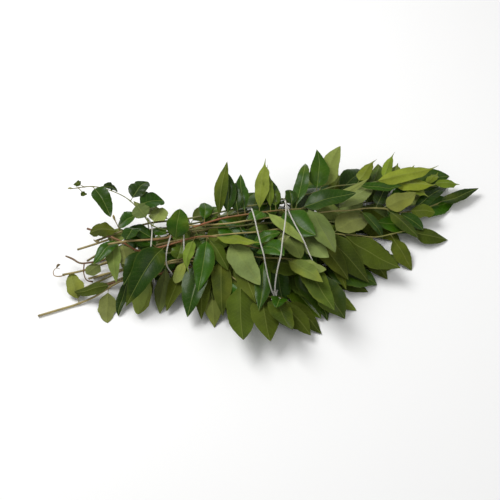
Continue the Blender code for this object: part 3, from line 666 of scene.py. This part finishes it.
# Each kind of leaflet's colours above and below, and how dark and how light one may be
leafLooks = {
    "dark": {"top": (0.0145, 0.047, 0.0003), "under": (0.085, 0.118, 0.014), "shade": (0.45, 1.7)},
    "pale": {"top": (0.019, 0.061, 0.001), "under": (0.176, 0.208, 0.050), "shade": (0.72, 1.25)},
    "olive": {"top": (0.026, 0.060, 0.001), "under": (0.052, 0.074, 0.0045), "shade": (0.7, 1.25)},
    "bright": {"top": (0.085, 0.140, 0.004), "under": (0.158, 0.205, 0.020), "shade": (0.7, 1.25)},
}

# Each side of a blade: "rib" is half the midrib's width in mm, and the shares say how much its colours show
leafSides = {
    "top": {
        "gloss": {"Specular IOR Level": 0.10, "Coat Weight": 0.14, "Coat Roughness": 0.22},
        "roughness": (0.30, 0.44), "colour": "leafTop",
        "rib": 0.36, "ribShare": 0.60, "ribColour": (0.20, 0.25, 0.055), "veinShare": 0.10,
        "veinRelief": -1.0, "netRelief": -0.12,  # sunk
    },
    "under": {
        "gloss": {"Specular IOR Level": 0.08, "Sheen Weight": 0.10, "Sheen Roughness": 0.4},
        "roughness": (0.50, 0.66), "colour": "leafUnder",
        "rib": 0.46, "ribShare": 0.38, "ribColour": (0.22, 0.25, 0.06), "veinShare": 0.12,
        "veinRelief": 1.0, "netRelief": 0.25,  # raised
    },
}


class Recipe:
    # A material and its nodes; a value for a socket may be a number, a colour or another node's output.
    def __init__(self, name, **values):
        self.material = bpy.data.materials.new(name)
        self.material.use_nodes = True
        self.tree = self.material.node_tree
        self.shader = self.tree.nodes["Principled BSDF"]
        for key, value in values.items():
            self.shader.inputs[key].default_value = value

    def node(self, kind, inputs, output=0, **settings):
        node = self.tree.nodes.new(f"ShaderNode{kind}")
        for key, value in settings.items():
            setattr(node, key, value)
        for key, value in inputs.items():
            if isinstance(value, bpy.types.NodeSocket):
                self.tree.links.new(value, node.inputs[key])
            else:
                node.inputs[key].default_value = value
        return node.outputs if output == "all" else node.outputs[output]

    def calc(self, operation, a, b=0.0, c=0.0):
        return self.node("Math", {0: a, 1: b, 2: c}, operation=operation)

    def times(self, a, b):
        return self.calc("MULTIPLY", a, b)

    def numbers(self, name):
        vector = self.node("Attribute", {}, "Vector", attribute_name=name)
        return list(self.node("SeparateXYZ", {0: vector}, "all"))

    def colourOf(self, name):
        return self.node("Attribute", {}, "Color", attribute_name=name)

    def ramp(self, value, low, high, toLow=0.0, toHigh=1.0, kind="SMOOTHSTEP"):
        inputs = {"Value": value, "From Min": low, "From Max": high, "To Min": toLow, "To Max": toHigh}
        return self.node("MapRange", inputs, interpolation_type=kind)

    def place(self):
        return self.node("TexCoord", {}, "Object")

    def noise(self, scale, detail=2.0, vector=None):
        inputs = {"Vector": vector or self.place(), "Scale": scale, "Detail": detail}
        return self.node("TexNoise", inputs, "Fac")

    def mix(self, share, a, b, blend="MIX"):
        a, b = (x if isinstance(x, bpy.types.NodeSocket) else (*x, 1) for x in (a, b))
        return self.node("Mix", {0: share, 6: a, 7: b}, 2, data_type="RGBA", blend_type=blend)

    def bump(self, height, strength, distance):
        return self.node("Bump", {"Height": height, "Strength": strength, "Distance": distance})

    def finish(self, **sockets):
        for key, value in sockets.items():
            self.tree.links.new(value, self.shader.inputs[key.replace("_", " ")])
        return self.material


def leafMaterial(name, side):
    # "grain" is along, across and half width in mm; "nature" is chance and age.
    look = leafSides[side]
    recipe = Recipe(name, **look["gloss"])
    calc, times, ramp, noise, mix = recipe.calc, recipe.times, recipe.ramp, recipe.noise, recipe.mix
    along, across, halfWidth = recipe.numbers("grain")
    _, age, _ = recipe.numbers("nature")
    off = calc("ABSOLUTE", across)
    edge = calc("DIVIDE", off, halfWidth)

    # veins: a midrib, side veins that bend towards the tip, and a net of small ones
    lean = times(off, calc("MULTIPLY_ADD", off, 0.020, 0.55))
    place = calc("DIVIDE", calc("SUBTRACT", along, lean), 4.1)
    place = calc("ADD", place, times(calc("GREATER_THAN", across, 0.0), 0.45))
    place = calc("FRACT", calc("ADD", place, times(noise(160.0), 0.25)))
    sideVein = ramp(calc("ABSOLUTE", calc("SUBTRACT", place, 0.5)), 0.425, 0.5)
    sideVein = times(sideVein, ramp(edge, 0.96, 0.6))
    rib = ramp(off, look["rib"], 0.08)
    cells = {"Vector": recipe.place(), "Scale": 900.0}
    net = ramp(recipe.node("TexVoronoi", cells, "Distance", feature="DISTANCE_TO_EDGE"), 0.12, 0.0)

    # colour: mottled, yellower along the veins and where the leaf is old
    patch, fine = noise(75.0, 3.0), noise(700.0)
    bright = ramp(patch, 0.3, 0.7, 0.82, 1.20, "LINEAR")
    bright = times(bright, ramp(fine, 0.3, 0.7, 0.93, 1.07, "LINEAR"))
    shade = recipe.node("CombineColor", {0: bright, 1: bright, 2: bright})
    colour = mix(1.0, recipe.colourOf(look["colour"]), shade, "MULTIPLY")
    yellow = times(age, ramp(noise(38.0), 0.42, 0.62))
    spot = times(ramp(noise(420.0, 1.0), 0.735, 0.78), age)
    for share, tone in (
        (times(yellow, 0.55), (0.24, 0.25, 0.020)),
        (ramp(edge, 0.90, 1.0, 0.0, 0.25), (0.14, 0.17, 0.020)),
        (times(net, 0.08), (0.20, 0.25, 0.05)),
        (times(sideVein, look["veinShare"]), (0.20, 0.25, 0.045)),
        (times(rib, look["ribShare"]), look["ribColour"]),
        (times(spot, 0.7), (0.075, 0.045, 0.018)),
    ):
        colour = mix(share, colour, tone)
    roughness = ramp(fine, 0.3, 0.7, *look["roughness"], "LINEAR")

    # relief: the veins, and the blade puffed between them
    relief = times(calc("MAXIMUM", sideVein, rib), look["veinRelief"])
    relief = calc("MULTIPLY_ADD", net, look["netRelief"], relief)
    relief = calc("MULTIPLY_ADD", patch, 1.6, relief)
    normal = recipe.bump(relief, 0.55, 0.22 * mm)
    return recipe.finish(Base_Color=colour, Roughness=roughness, Normal=normal)


def stalkMaterial():
    # Here "leafTop" is the stalk's own colour.
    recipe = Recipe("Stalk", **{"Specular IOR Level": 0.4})
    patch, fine = recipe.noise(120.0, 3.0), recipe.noise(1400.0)
    brown, rusty = recipe.ramp(patch, 0.35, 0.7, 0.0, 0.55), recipe.ramp(fine, 0.5, 0.75, 0.0, 0.35)
    colour = recipe.mix(brown, recipe.colourOf("leafTop"), (0.13, 0.10, 0.028))
    colour = recipe.mix(rusty, colour, (0.34, 0.20, 0.08))
    roughness = recipe.ramp(fine, 0.3, 0.7, 0.42, 0.62, "LINEAR")
    normal = recipe.bump(recipe.calc("ADD", patch, fine), 0.4, 0.15 * mm)
    return recipe.finish(Base_Color=colour, Roughness=roughness, Normal=normal)


def cutMaterial():
    recipe = Recipe("CutEnd", Roughness=0.8)
    fine = recipe.noise(1500.0, 3.0)
    colour = recipe.mix(recipe.ramp(fine, 0.35, 0.65), (0.46, 0.34, 0.16), (0.20, 0.11, 0.04))
    return recipe.finish(Base_Color=colour, Normal=recipe.bump(fine, 0.5, 0.1 * mm))


def twineMaterial():
    recipe = Recipe("CottonTwine", **{"Sheen Weight": 0.4, "Specular IOR Level": 0.2, "Roughness": 0.92})
    along, turn, _ = recipe.numbers("grain")
    fibre = recipe.node("CombineXYZ", {0: recipe.times(along, 0.35), 1: recipe.times(turn, 7.0)})
    threads, patch = recipe.noise(2.2, 3.0, fibre), recipe.noise(220.0)
    colour = recipe.mix(recipe.ramp(threads, 0.35, 0.65), (0.52, 0.50, 0.43), (0.82, 0.80, 0.73))
    colour = recipe.mix(recipe.ramp(patch, 0.5, 0.75, 0.0, 0.35), colour, (0.55, 0.52, 0.38))
    return recipe.finish(Base_Color=colour, Normal=recipe.bump(threads, 0.8, 0.2 * mm))


materials = {
    "top": leafMaterial("LeafTop", "top"),
    "under": leafMaterial("LeafUnderside", "under"),
    "stalk": stalkMaterial(),
    "cut": cutMaterial(),
    "twine": twineMaterial(),
}
print("materials made")


# Shapes


class Skin:
    # Gathers grids of points, with a material and attributes for each, into one piece.
    def __init__(self):
        self.points, self.faces, self.slots, self.count = [], [], [], 0
        self.attributes = {"grain": [], "nature": [], "leafTop": [], "leafUnder": []}

    def grid(self, points, slot, flip=False, ring=False, **values):
        rows, columns = points.shape[:2]
        ids = np.arange(rows * columns).reshape(rows, columns) + self.count
        if ring:
            ids = np.column_stack([ids, ids[:, :1]])
        a, b, c, d = ids[:-1, :-1], ids[1:, :-1], ids[1:, 1:], ids[:-1, 1:]
        quads = np.stack([a, d, c, b] if flip else [a, b, c, d], -1).reshape(-1, 4)
        self.points.append(points.reshape(-1, 3))
        self.faces.append(quads)
        self.slots.append(np.full(len(quads), slot))
        for key, gathered in self.attributes.items():
            gathered.append(np.broadcast_to(values.get(key, 0.0), points.shape).reshape(-1, 3))
        self.count += rows * columns

    def piece(self, name, slots):
        points = np.vstack(self.points) - middle
        points[:, 2] = np.maximum(points[:, 2], 0)
        mesh = bpy.data.meshes.new(name)
        mesh.from_pydata(points, [], np.vstack(self.faces).tolist(), shade_flat=False)
        for slot in slots:
            mesh.materials.append(materials[slot])
        mesh.polygons.foreach_set("material_index", np.concatenate(self.slots))
        for key, gathered in self.attributes.items():
            rows = np.vstack(gathered)
            if key.startswith("leaf"):
                colours = np.column_stack([rows, np.ones(len(rows))])
                mesh.attributes.new(key, "FLOAT_COLOR", "POINT").data.foreach_set("color", colours.ravel())
            else:
                mesh.attributes.new(key, "FLOAT_VECTOR", "POINT").data.foreach_set("vector", rows.ravel())
        mesh.validate()
        obj = bpy.data.objects.new(name, mesh)
        bpy.context.scene.collection.objects.link(obj)
        return obj


bladeShape = {
    "rows": 26,
    "columns": np.array((-1, -0.86, -0.62, -0.36, -0.13, 0, 0.13, 0.36, 0.62, 0.86, 1)),
    "half": 0.16 * mm,  # its thickness to each side
    "ribRise": 0.34 * mm,
    "ribReach": 0.55 * mm,
    "topSprigs": (13, 16),  # with nothing lying over most of their leaflets, so they fold and wave more
    "lopsided": 0.09,  # one half wider than the other
    "dents": 0.06,  # long ones along each edge
    "teeth": 0.018,  # small ones
    "puff": 0.10,  # bulge of each half, as a share of its width
    "swell": 0.35 * mm,  # slow rise and fall along it
    "curl": (-1.3, 1.6),  # up or down towards the tip, in mm
    "hook": 1.7,  # of the tip to one side, in mm
    "sickle": 0.05,  # bend of the whole blade to one side, as a share of its length
    "flick": (0.8 * mm, 2.5 * mm),  # of the tip, and of a bright leaflet's
}


def sway(rng, u, turns):
    return np.sin(2 * math.pi * (turns * u + rng.random()))


def rising(u, start, width):
    return np.clip((u - start) / width, 0, 1)


def bladeOutline(leaf, rng, u, isBright):
    outline = np.array(leaf["outline"])
    places = u ** rng.uniform(0.9, 1.12)
    wide = hermite(places, np.append(outline[:, 0], 1), np.append(outline[:, 1], 0))
    wide = wide + 0.06 * np.sqrt(u * (1 - u))
    isRound = leaf["length"] < 0.7 * leafLength
    blunt = rng.uniform(0.4, 0.9) if isRound else rng.uniform(0.02, 0.30)
    wide += blunt * np.sqrt(1 - u) * rising(u, 0.65, 0.35)
    wide *= 1 + bladeShape["teeth"] * sway(rng, u, 9)
    if isBright:
        thinned = rising(u, 0.72, 0.16)
        wide *= 1 - 0.7 * thinned**2 * (3 - 2 * thinned)
    return wide


def bladeGrid(leaf, rng):
    # The blade between its two faces: points, the way out of it, half widths and places along.
    shape = bladeShape
    u, v = np.linspace(0, 1, shape["rows"]), shape["columns"][None, :]
    length = leaf["length"]
    point, across, out = liftedRib(leaf, (stalkletLength + u * length) / (stalkletLength + length))
    isBright = leaf.get("look") == "bright"
    wide = bladeOutline(leaf, rng, u, isBright)
    arch = np.sin(math.pi * u)[:, None]
    lopsided = 1 + rng.uniform(-shape["lopsided"], shape["lopsided"]) * np.sign(v) * arch
    for side in (-1, 1):
        dent = shape["dents"] * sway(rng, u, rng.uniform(1.4, 2.6))[:, None]
        lopsided = lopsided + dent * (np.sign(v) == side) * arch
    half = np.maximum(wide, 0.02)[:, None] * lopsided * leaf["width"] / 2
    sign = 1 if leaf["fold"] > 0 else -1
    free = leaf["last"] or leaf["sprig"] in shape["topSprigs"] or isBright
    closing = rng.choice((0.7, 1.1, 1.8)) if free else rng.uniform(0.5, 1.1)
    looseness = rng.uniform(0.3, 1.0) if free else rng.uniform(0.15, 0.45)
    angle = closing * leaf["fold"] * (1 + 0.25 * sway(rng, u, 0.8))[:, None]
    puff = sign * shape["puff"] * np.sin(math.pi * np.abs(v)) * (0.3 + 0.7 * rng.random())
    waves = []
    for side in (-1, 1):
        turns = rng.uniform(1.3, 3.0)
        wave = sway(rng, u, turns)
        wave += 0.45 * sway(rng, u, 2.3 * turns)
        waves.append((wave + 0.5 * free) * looseness * rng.uniform(0.6, 1.2) * mm)
    ripple = np.where(v < 0, waves[0][:, None], waves[1][:, None]) * v**2 * arch
    swell = looseness * shape["swell"] * sway(rng, u, 1.3)[:, None] * arch
    up = np.sign(out[:, 2:])
    curl = rng.uniform(*shape["curl"]) * looseness * mm * up * u[:, None] ** 3 * length / leafLength
    hook = rng.uniform(-shape["hook"], shape["hook"]) * (1 + free + isBright) * mm
    hook = hook * rising(u, 0.6, 0.4)[:, None] ** 2
    sickle = rng.uniform(-shape["sickle"], shape["sickle"]) * length * u[:, None] ** 2
    flick = shape["flick"][isBright] * up * rising(u, 0.75, 0.25)[:, None] ** 2
    offset = (np.abs(v) * np.sin(angle) + puff) * half + ripple + swell + curl
    offset = offset + rng.uniform(-0.2, 1) * flick
    grid = point[:, None] + across[:, None] * (v * np.cos(angle) * half + hook + sickle)[..., None]
    return grid + out[:, None] * offset[..., None], out, half, u * length


def addLeaf(skin, leaf, look, rng):
    grid, out, half, along = bladeGrid(leaf, rng)
    v = bladeShape["columns"][None, :]
    flat = bladeShape["half"] * (1 - np.abs(v) ** 6) * np.ones((len(grid), 1))
    rib = np.exp(-((v * half / bladeShape["ribReach"]) ** 2)) * (1 - along / leaf["length"])[:, None] ** 0.6
    rib *= bladeShape["ribRise"]
    grain = np.stack(np.broadcast_arrays(along[:, None] / mm, v * half / mm, half / mm), -1)
    nature = np.array((rng.random(), rng.random() ** 3 * (0.8 if look == "pale" else 0.4), rng.random()))
    colours = leafLooks[look]
    tint = np.array((rng.uniform(0.84, 1.08), 1, rng.uniform(0.75, 1.3))) * rng.uniform(*colours["shade"])
    leafTop, leafUnder = (np.array(colours[side]) * tint for side in ("top", "under"))
    for way in (1, -1):
        isUnder = (way > 0) == leaf["turned"]
        thick = flat + (rib if isUnder else -0.25 * rib)
        points = grid + way * out[:, None] * thick[..., None]
        finish = {"grain": grain, "nature": nature, "leafTop": leafTop, "leafUnder": leafUnder}
        skin.grid(points, int(isUnder), flip=way < 0, **finish)
    addStalklet(skin, leaf, leafUnder)


def ringsRound(line, radii, count):
    ahead = unit(np.gradient(line, axis=0))
    side = unit(np.cross((0.0, 0.0, 1.0), ahead))
    normal = np.cross(ahead, side)
    turn = np.arange(count) * 2 * math.pi / count
    spokes = side[:, None] * np.cos(turn)[None, :, None] + normal[:, None] * np.sin(turn)[None, :, None]
    return line[:, None] + spokes * np.asarray(radii)[:, None, None]


def addStem(skin, line, radii, count, slot, colours):
    # A tube with closed ends; colours has a row for each point of the line.
    line, radii = np.array(line), np.array(radii)
    line = np.vstack([line[:1], line, line[-1:]])
    line[0] += (line[1] - line[2]) * 1e-3
    line[-1] += (line[-2] - line[-3]) * 1e-3
    radii = np.concatenate([radii[:1] * 0.05, radii, radii[-1:] * 0.05])
    colours = np.vstack([colours[:1], colours, colours[-1:]])
    skin.grid(ringsRound(line, radii, count), slot, flip=True, ring=True, leafTop=colours[:, None])


stalkShape = {
    "sides": 10,
    "step": 2.5 * mm,
    "thick": 0.85,  # as a share of the CAD stalk
    "swelling": 0.22 * mm,  # where a leaflet leaves it
    "swellingReach": 1.8 * mm,
    "cutEnd": 0.12 * mm,
    "stalkletSides": 7,
    "stalklet": (0.85, 0.70, 0.58, 0.52, 0.45, 0.2),  # how it tapers
    "oddmentSides": 8,
}
stalkSlot, cutSlot = 2, 3  # in the order of a sprig's materials


def addStalklet(skin, leaf, green):
    radii = np.array(stalkShape["stalklet"]) * stalkletRadius
    count = len(radii)
    share = np.linspace(0, stalkletLength * 1.5 / (stalkletLength + leaf["length"]), count)
    point, _, out = liftedRib(leaf, share)
    point += out * (1 if leaf["turned"] else -1) * np.linspace(0, 0.12 * mm, count)[:, None]
    fade = np.linspace(0, 1, count)[:, None] ** 0.7
    colours = leaf["stalkColour"] * (1 - fade) + np.array(green) * fade
    addStem(skin, point, radii, stalkShape["stalkletSides"], stalkSlot, colours)


# A stalk's colour at its cut end, in the middle and at its tip
stalkLooks = {
    "red": ((0.20, 0.085, 0.030), (0.24, 0.085, 0.028), (0.17, 0.16, 0.035)),
    "turning": ((0.38, 0.31, 0.12), (0.26, 0.085, 0.030), (0.11, 0.15, 0.03)),
    "tan": ((0.36, 0.29, 0.11), (0.36, 0.30, 0.10), (0.18, 0.20, 0.04)),
    "green": ((0.22, 0.19, 0.06), (0.12, 0.15, 0.03), (0.10, 0.16, 0.03)),
}
sprigStalks = (
    "green", "green", "green", "tan", "red", "green", "green", "green", "green",
    "tan", "tan", "tan", "tan", "green", "red", "turning", "green",
)

# Small things at the stalk ends: the sprig, the colour, and points with the thickness there, in mm
oddments = (
    (12, (0.13, 0.06, 0.022), (
        (-161, 24, 14, 0.7), (-156, 19, 15, 0.9), (-150, 12, 16, 0.8), (-141, 9, 18, 0.8),
        (-130, 7, 20, 0.7),
    )),
    (12, (0.32, 0.2, 0.09), (
        (-165, 8, 9, 0.6), (-170, 8, 9, 0.5), (-174, 10, 9, 0.42), (-174, 13, 11, 0.34),
        (-171, 15, 12, 0.28), (-168, 14, 11, 0.2),
    )),
    (12, (0.11, 0.055, 0.022), ((-171, 15, 12, 0.3), (-169, 17, 13, 1.1), (-167, 17, 13, 0.3))),
    (12, (0.16, 0.07, 0.026), (
        (-147, 10, 17, 0.6), (-149, 4, 12, 0.5), (-148, -1, 8, 0.5), (-143, -3, 6, 0.8),
    )),
    (13, (0.34, 0.26, 0.075), (
        (-110, 24, 27, 0.5), (-113, 30, 38, 0.4), (-114, 33, 42, 1), (-114, 34, 44, 0.6),
    )),
    (15, (0.17, 0.14, 0.05), (
        (-126, 22, 36, 0.4), (-129, 17, 33, 0.35), (-132, 18, 33, 1.1), (-135, 21, 33, 0.3),
    )),
    (17, (0.3, 0.3, 0.10), ((-143, 70, 46, 0.45), (-145, 71, 46, 0.9), (-147, 71, 46, 0.3))),
)


def stalkColours(kind, share):
    # The stalk's colour at each share of its length.
    cut, between, tip = np.array(stalkLooks[kind])
    first, last = rising(share, 0, 0.4)[:, None], rising(share, 0.5, 0.5)[:, None]
    return (cut * (1 - first) + between * first) * (1 - last) + tip * last


def addSprig(number, laid):
    rng = random.Random(100 + number)
    skin = Skin()
    kind = sprigStalks[number]
    line, radii = laid["line"], laid["radii"]
    steps = stepsAlong(line)
    fine = np.linspace(0, steps[-1], round(steps[-1] / stalkShape["step"]))
    smooth = onLine(fine, steps, line, hermite)
    thick = stalkShape["thick"] * np.interp(fine, steps, radii)
    for leaf in laid["leaflets"]:
        near = np.linalg.norm(smooth - leaf["root"], axis=1)
        thick = thick + stalkShape["swelling"] * np.exp(-((near / stalkShape["swellingReach"]) ** 2))
    colours = stalkColours(kind, fine / steps[-1])
    colours *= 1 - 0.45 * np.exp(-fine / (3 * mm))[:, None]
    addStem(skin, smooth, thick, stalkShape["sides"], stalkSlot, colours)
    cutEnd = smooth[:2] + unit(smooth[0] - smooth[1]) * stalkShape["cutEnd"]
    cutEnd = cutEnd[0] + (cutEnd - cutEnd[0]) * 0.04
    addStem(skin, cutEnd, thick[:2] * 0.86, stalkShape["sides"], cutSlot, np.zeros((2, 3)))
    for leaf in laid["leaflets"]:
        share = steps[np.linalg.norm(line - leaf["root"], axis=1).argmin()] / steps[-1]
        leaf["stalkColour"] = stalkColours(kind, np.array([share]))[0]
        look = leaf.get("look") or rng.choice(("dark", "dark", "pale", "olive"))
        addLeaf(skin, leaf, look, rng)
    for sprig, colour, points in oddments:
        if sprig == number + 1:
            fine = np.linspace(0, 1, 4 * len(points))
            smooth = onLine(fine, np.linspace(0, 1, len(points)), np.array(points) * mm, hermite)
            colours = np.tile(colour, (len(fine), 1))
            addStem(skin, smooth[:, :3], smooth[:, 3], stalkShape["oddmentSides"], stalkSlot, colours)
    name = f"sprig_{number + 1:02d}"
    piece = skin.piece(f"{name}_leafy", ("top", "under", "stalk", "cut"))
    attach(piece, "root")
    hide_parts(name)
    return len(piece.data.polygons)


faceCount = sum(addSprig(number, laid) for number, laid in enumerate(laidSprigs))
print("sprigs made, faces:", faceCount)


# Twine: two plies twisted round each other along the CAD line, rounded at its corners

# How each turn bows towards the cut ends, how far its highest stretch leans towards the tips, and how far
# towards the tips it goes in under the leaflets, in mm
slack = ((1, 4, 0), (8, 10, 0), (4, 4, 0), (5, 0, 0), (5, 8, 0), (3, -6, -8))
twineShape = {
    "ply": 0.37 * mm,
    "pitch": 2.8 * mm,
    "sides": 7,
    "step": 0.32 * mm,  # between rings
    "rounding": 23,  # rings that each corner is rounded over
    "ridge": 43 * mm,  # no strand is higher on the ridge, whose leaflets stand up behind it
    "ridgeFall": 2.5,  # and lower by this slope past the ridge
    "knotTop": np.array((2, -66, 18.5)) * mm,
    "knotSize": 0.55 * mm,
    "tails": (((0, 0, 1), (-2, -3, 3), (-5, -4, 3)), ((0, 0, 1), (2, -3, 3), (5, -5, 1))),
}
ply, knotTop = twineShape["ply"], twineShape["knotTop"]


def slackSpan(near, far, nearHeight, bow, lean):
    # A strand over the heap, tight but bowed and leaning a little to one side
    share = np.linspace(0, 1, round(np.linalg.norm(far - near) / mm) + 1)
    part = share
    for _ in range(3):
        way = np.where(part < 0.7, np.sin(math.pi / 1.4 * part) ** 2, 1 - ((part - 0.7) / 0.3) ** 2)
        x = near[0] + (far[0] - near[0]) * part + (lean * way - bow * np.sin(math.pi * part**0.7)) * mm
        plan = np.column_stack([x, near[1] + (far[1] - near[1]) * share])
        need = np.max([beneathTwine.height(plan + (k * twineRadius, 0)) for k in (-1, 0, 1)], axis=0)
        if near[1] < -40 * mm:
            behind = twineShape["ridge"] - twineShape["ridgeFall"] * np.maximum(plan[:, 1] - 12 * mm, 0)
            need = np.where(plan[:, 1] > 4 * mm, np.minimum(need, behind), need)
        need += 1.8 * ply
        need[0] = nearHeight or max(need[:3].max(), 8 * mm)
        need[-1] = max(need[-3:].max(), 8 * mm)
        strand = np.column_stack([plan, np.interp(share, *tightOver(share, need).T)])
        part = stepsAlong(strand[:, 1:])
        part /= part[-1]
    return strand


def slackTwine():
    points = []
    for (near, far), (bow, lean, tuck), (start, _) in zip(turns, slack, twineBottom()):
        points += [(*start, 2 * ply), (*near, 2 * ply)]
        near = near + (tuck * mm, 0)
        isTied = abs(near[0] - knot[0]) < 3 * mm
        if isTied:
            points.append((*near, 0.5 * knotTop[2]))
            near = knotTop[:2] + (np.sign(near[0] - knot[0]) * 0.5 * mm, 0)
        points += [*slackSpan(near, far, knotTop[2] if isTied else 0, bow, lean), (*far, 2 * ply)]
    points.append((*twineBottom()[-1][1], 2 * ply))
    return np.array(points)


def twistedTwine(skin, line):
    steps = stepsAlong(line)
    fine = np.arange(0, steps[-1], twineShape["step"])
    window = twineShape["rounding"]
    padded = np.pad(onLine(fine, steps, line), ((window // 2, window // 2), (0, 0)), "edge")
    smooth = np.stack([np.convolve(axis, np.ones(window) / window, "valid") for axis in padded.T], 1)
    smooth[:, 2] = np.maximum(smooth[:, 2], 2 * ply)
    ahead = unit(np.gradient(smooth, axis=0))
    side = np.zeros_like(ahead)
    side[0] = np.cross(ahead[0], (0, 0, 1))
    for k in range(1, len(side)):
        side[k] = unit(side[k - 1] - ahead[k] * (side[k - 1] @ ahead[k]))
    normal = np.cross(ahead, side)
    angles = np.arange(twineShape["sides"]) * 2 * math.pi / twineShape["sides"]
    for half in (0, 0.5):
        turn = 2 * math.pi * (fine / twineShape["pitch"] + half)[:, None]
        centre = smooth + (side * np.cos(turn) + normal * np.sin(turn)) * ply * 0.86
        cos, sin = np.cos(turn + angles)[..., None], np.sin(turn + angles)[..., None]
        spokes = side[:, None] * cos + normal[:, None] * sin
        grain = np.broadcast_arrays(fine[:, None] / mm, angles[None] / (2 * math.pi), 0 * fine[:, None])
        skin.grid(centre[:, None] + spokes * ply, 0, flip=True, ring=True, grain=np.stack(grain, -1))


def knotPath():
    # A trefoil
    t = np.linspace(0, 2 * math.pi, 60, endpoint=False)
    x, y, z = np.sin(t) + 2 * np.sin(2 * t), np.cos(t) - 2 * np.cos(2 * t), -np.sin(3 * t)
    return np.stack([x, z * 0.8, y], 1) * twineShape["knotSize"] + knotTop


skin = Skin()
twistedTwine(skin, slackTwine())
twistedTwine(skin, knotPath())
for tail in twineShape["tails"]:
    twistedTwine(skin, knotTop + np.array(tail) * mm)
twine = skin.piece("cotton_twine_twisted", ("twine",))
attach(twine, "root")
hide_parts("twine")
print("twine made, faces:", len(twine.data.polygons))


# Floor, light and camera

studio = {
    "floor": (0.93, 0.93, 0.925),
    "world": 0.42,
    "lights": {"KeyLight": ((-0.45, 0.45, 1.0), 0.6, 11), "FillLight": ((0.9, -0.5, 1.0), 1.0, 3)},
    "azimuth": -15,
    "elevation": 55,
    "distance": 0.95,
    "view": 0.43,  # how much it takes in from side to side at that distance
    "shift": (-0.014, -0.01),
}

bpy.ops.mesh.primitive_plane_add(size=12, location=(0, 0, -0.2 * mm))
floor = bpy.context.object
floor.name = "Floor"
paleFloor = Recipe("PaleFloor", **{"Base Color": (*studio["floor"], 1), "Roughness": 0.85})
floor.data.materials.append(paleFloor.material)

scene = bpy.context.scene
scene.world = bpy.data.worlds.new("Studio")
scene.world.use_nodes = True
background = scene.world.node_tree.nodes["Background"].inputs
background["Color"].default_value = (1, 1, 1, 1)
background["Strength"].default_value = studio["world"]
scene.view_settings.view_transform = "Standard"


def addObject(name, data, place, away):
    # It looks back along "away".
    thing = bpy.data.objects.new(name, data)
    thing.location = place
    thing.rotation_euler = (-away).to_track_quat("-Z", "Y").to_euler()
    scene.collection.objects.link(thing)
    return thing


for name, (place, size, power) in studio["lights"].items():
    light = bpy.data.lights.new(name, "AREA")
    light.shape = "SQUARE"
    light.size = size
    light.energy = power
    addObject(name, light, place, Vector(place))

azimuth, elevation = math.radians(studio["azimuth"]), math.radians(studio["elevation"])
level = math.cos(elevation)
back = Vector((math.sin(azimuth) * level, -math.cos(azimuth) * level, math.sin(elevation)))
lens = bpy.data.cameras.new("Camera")
lens.sensor_width = 36
lens.lens = lens.sensor_width * studio["distance"] / studio["view"]
lens.shift_x, lens.shift_y = studio["shift"]
target = Vector((0, -15 * mm, 25 * mm)) - Vector(middle)
scene.camera = addObject("Camera", lens, target + back * studio["distance"], back)
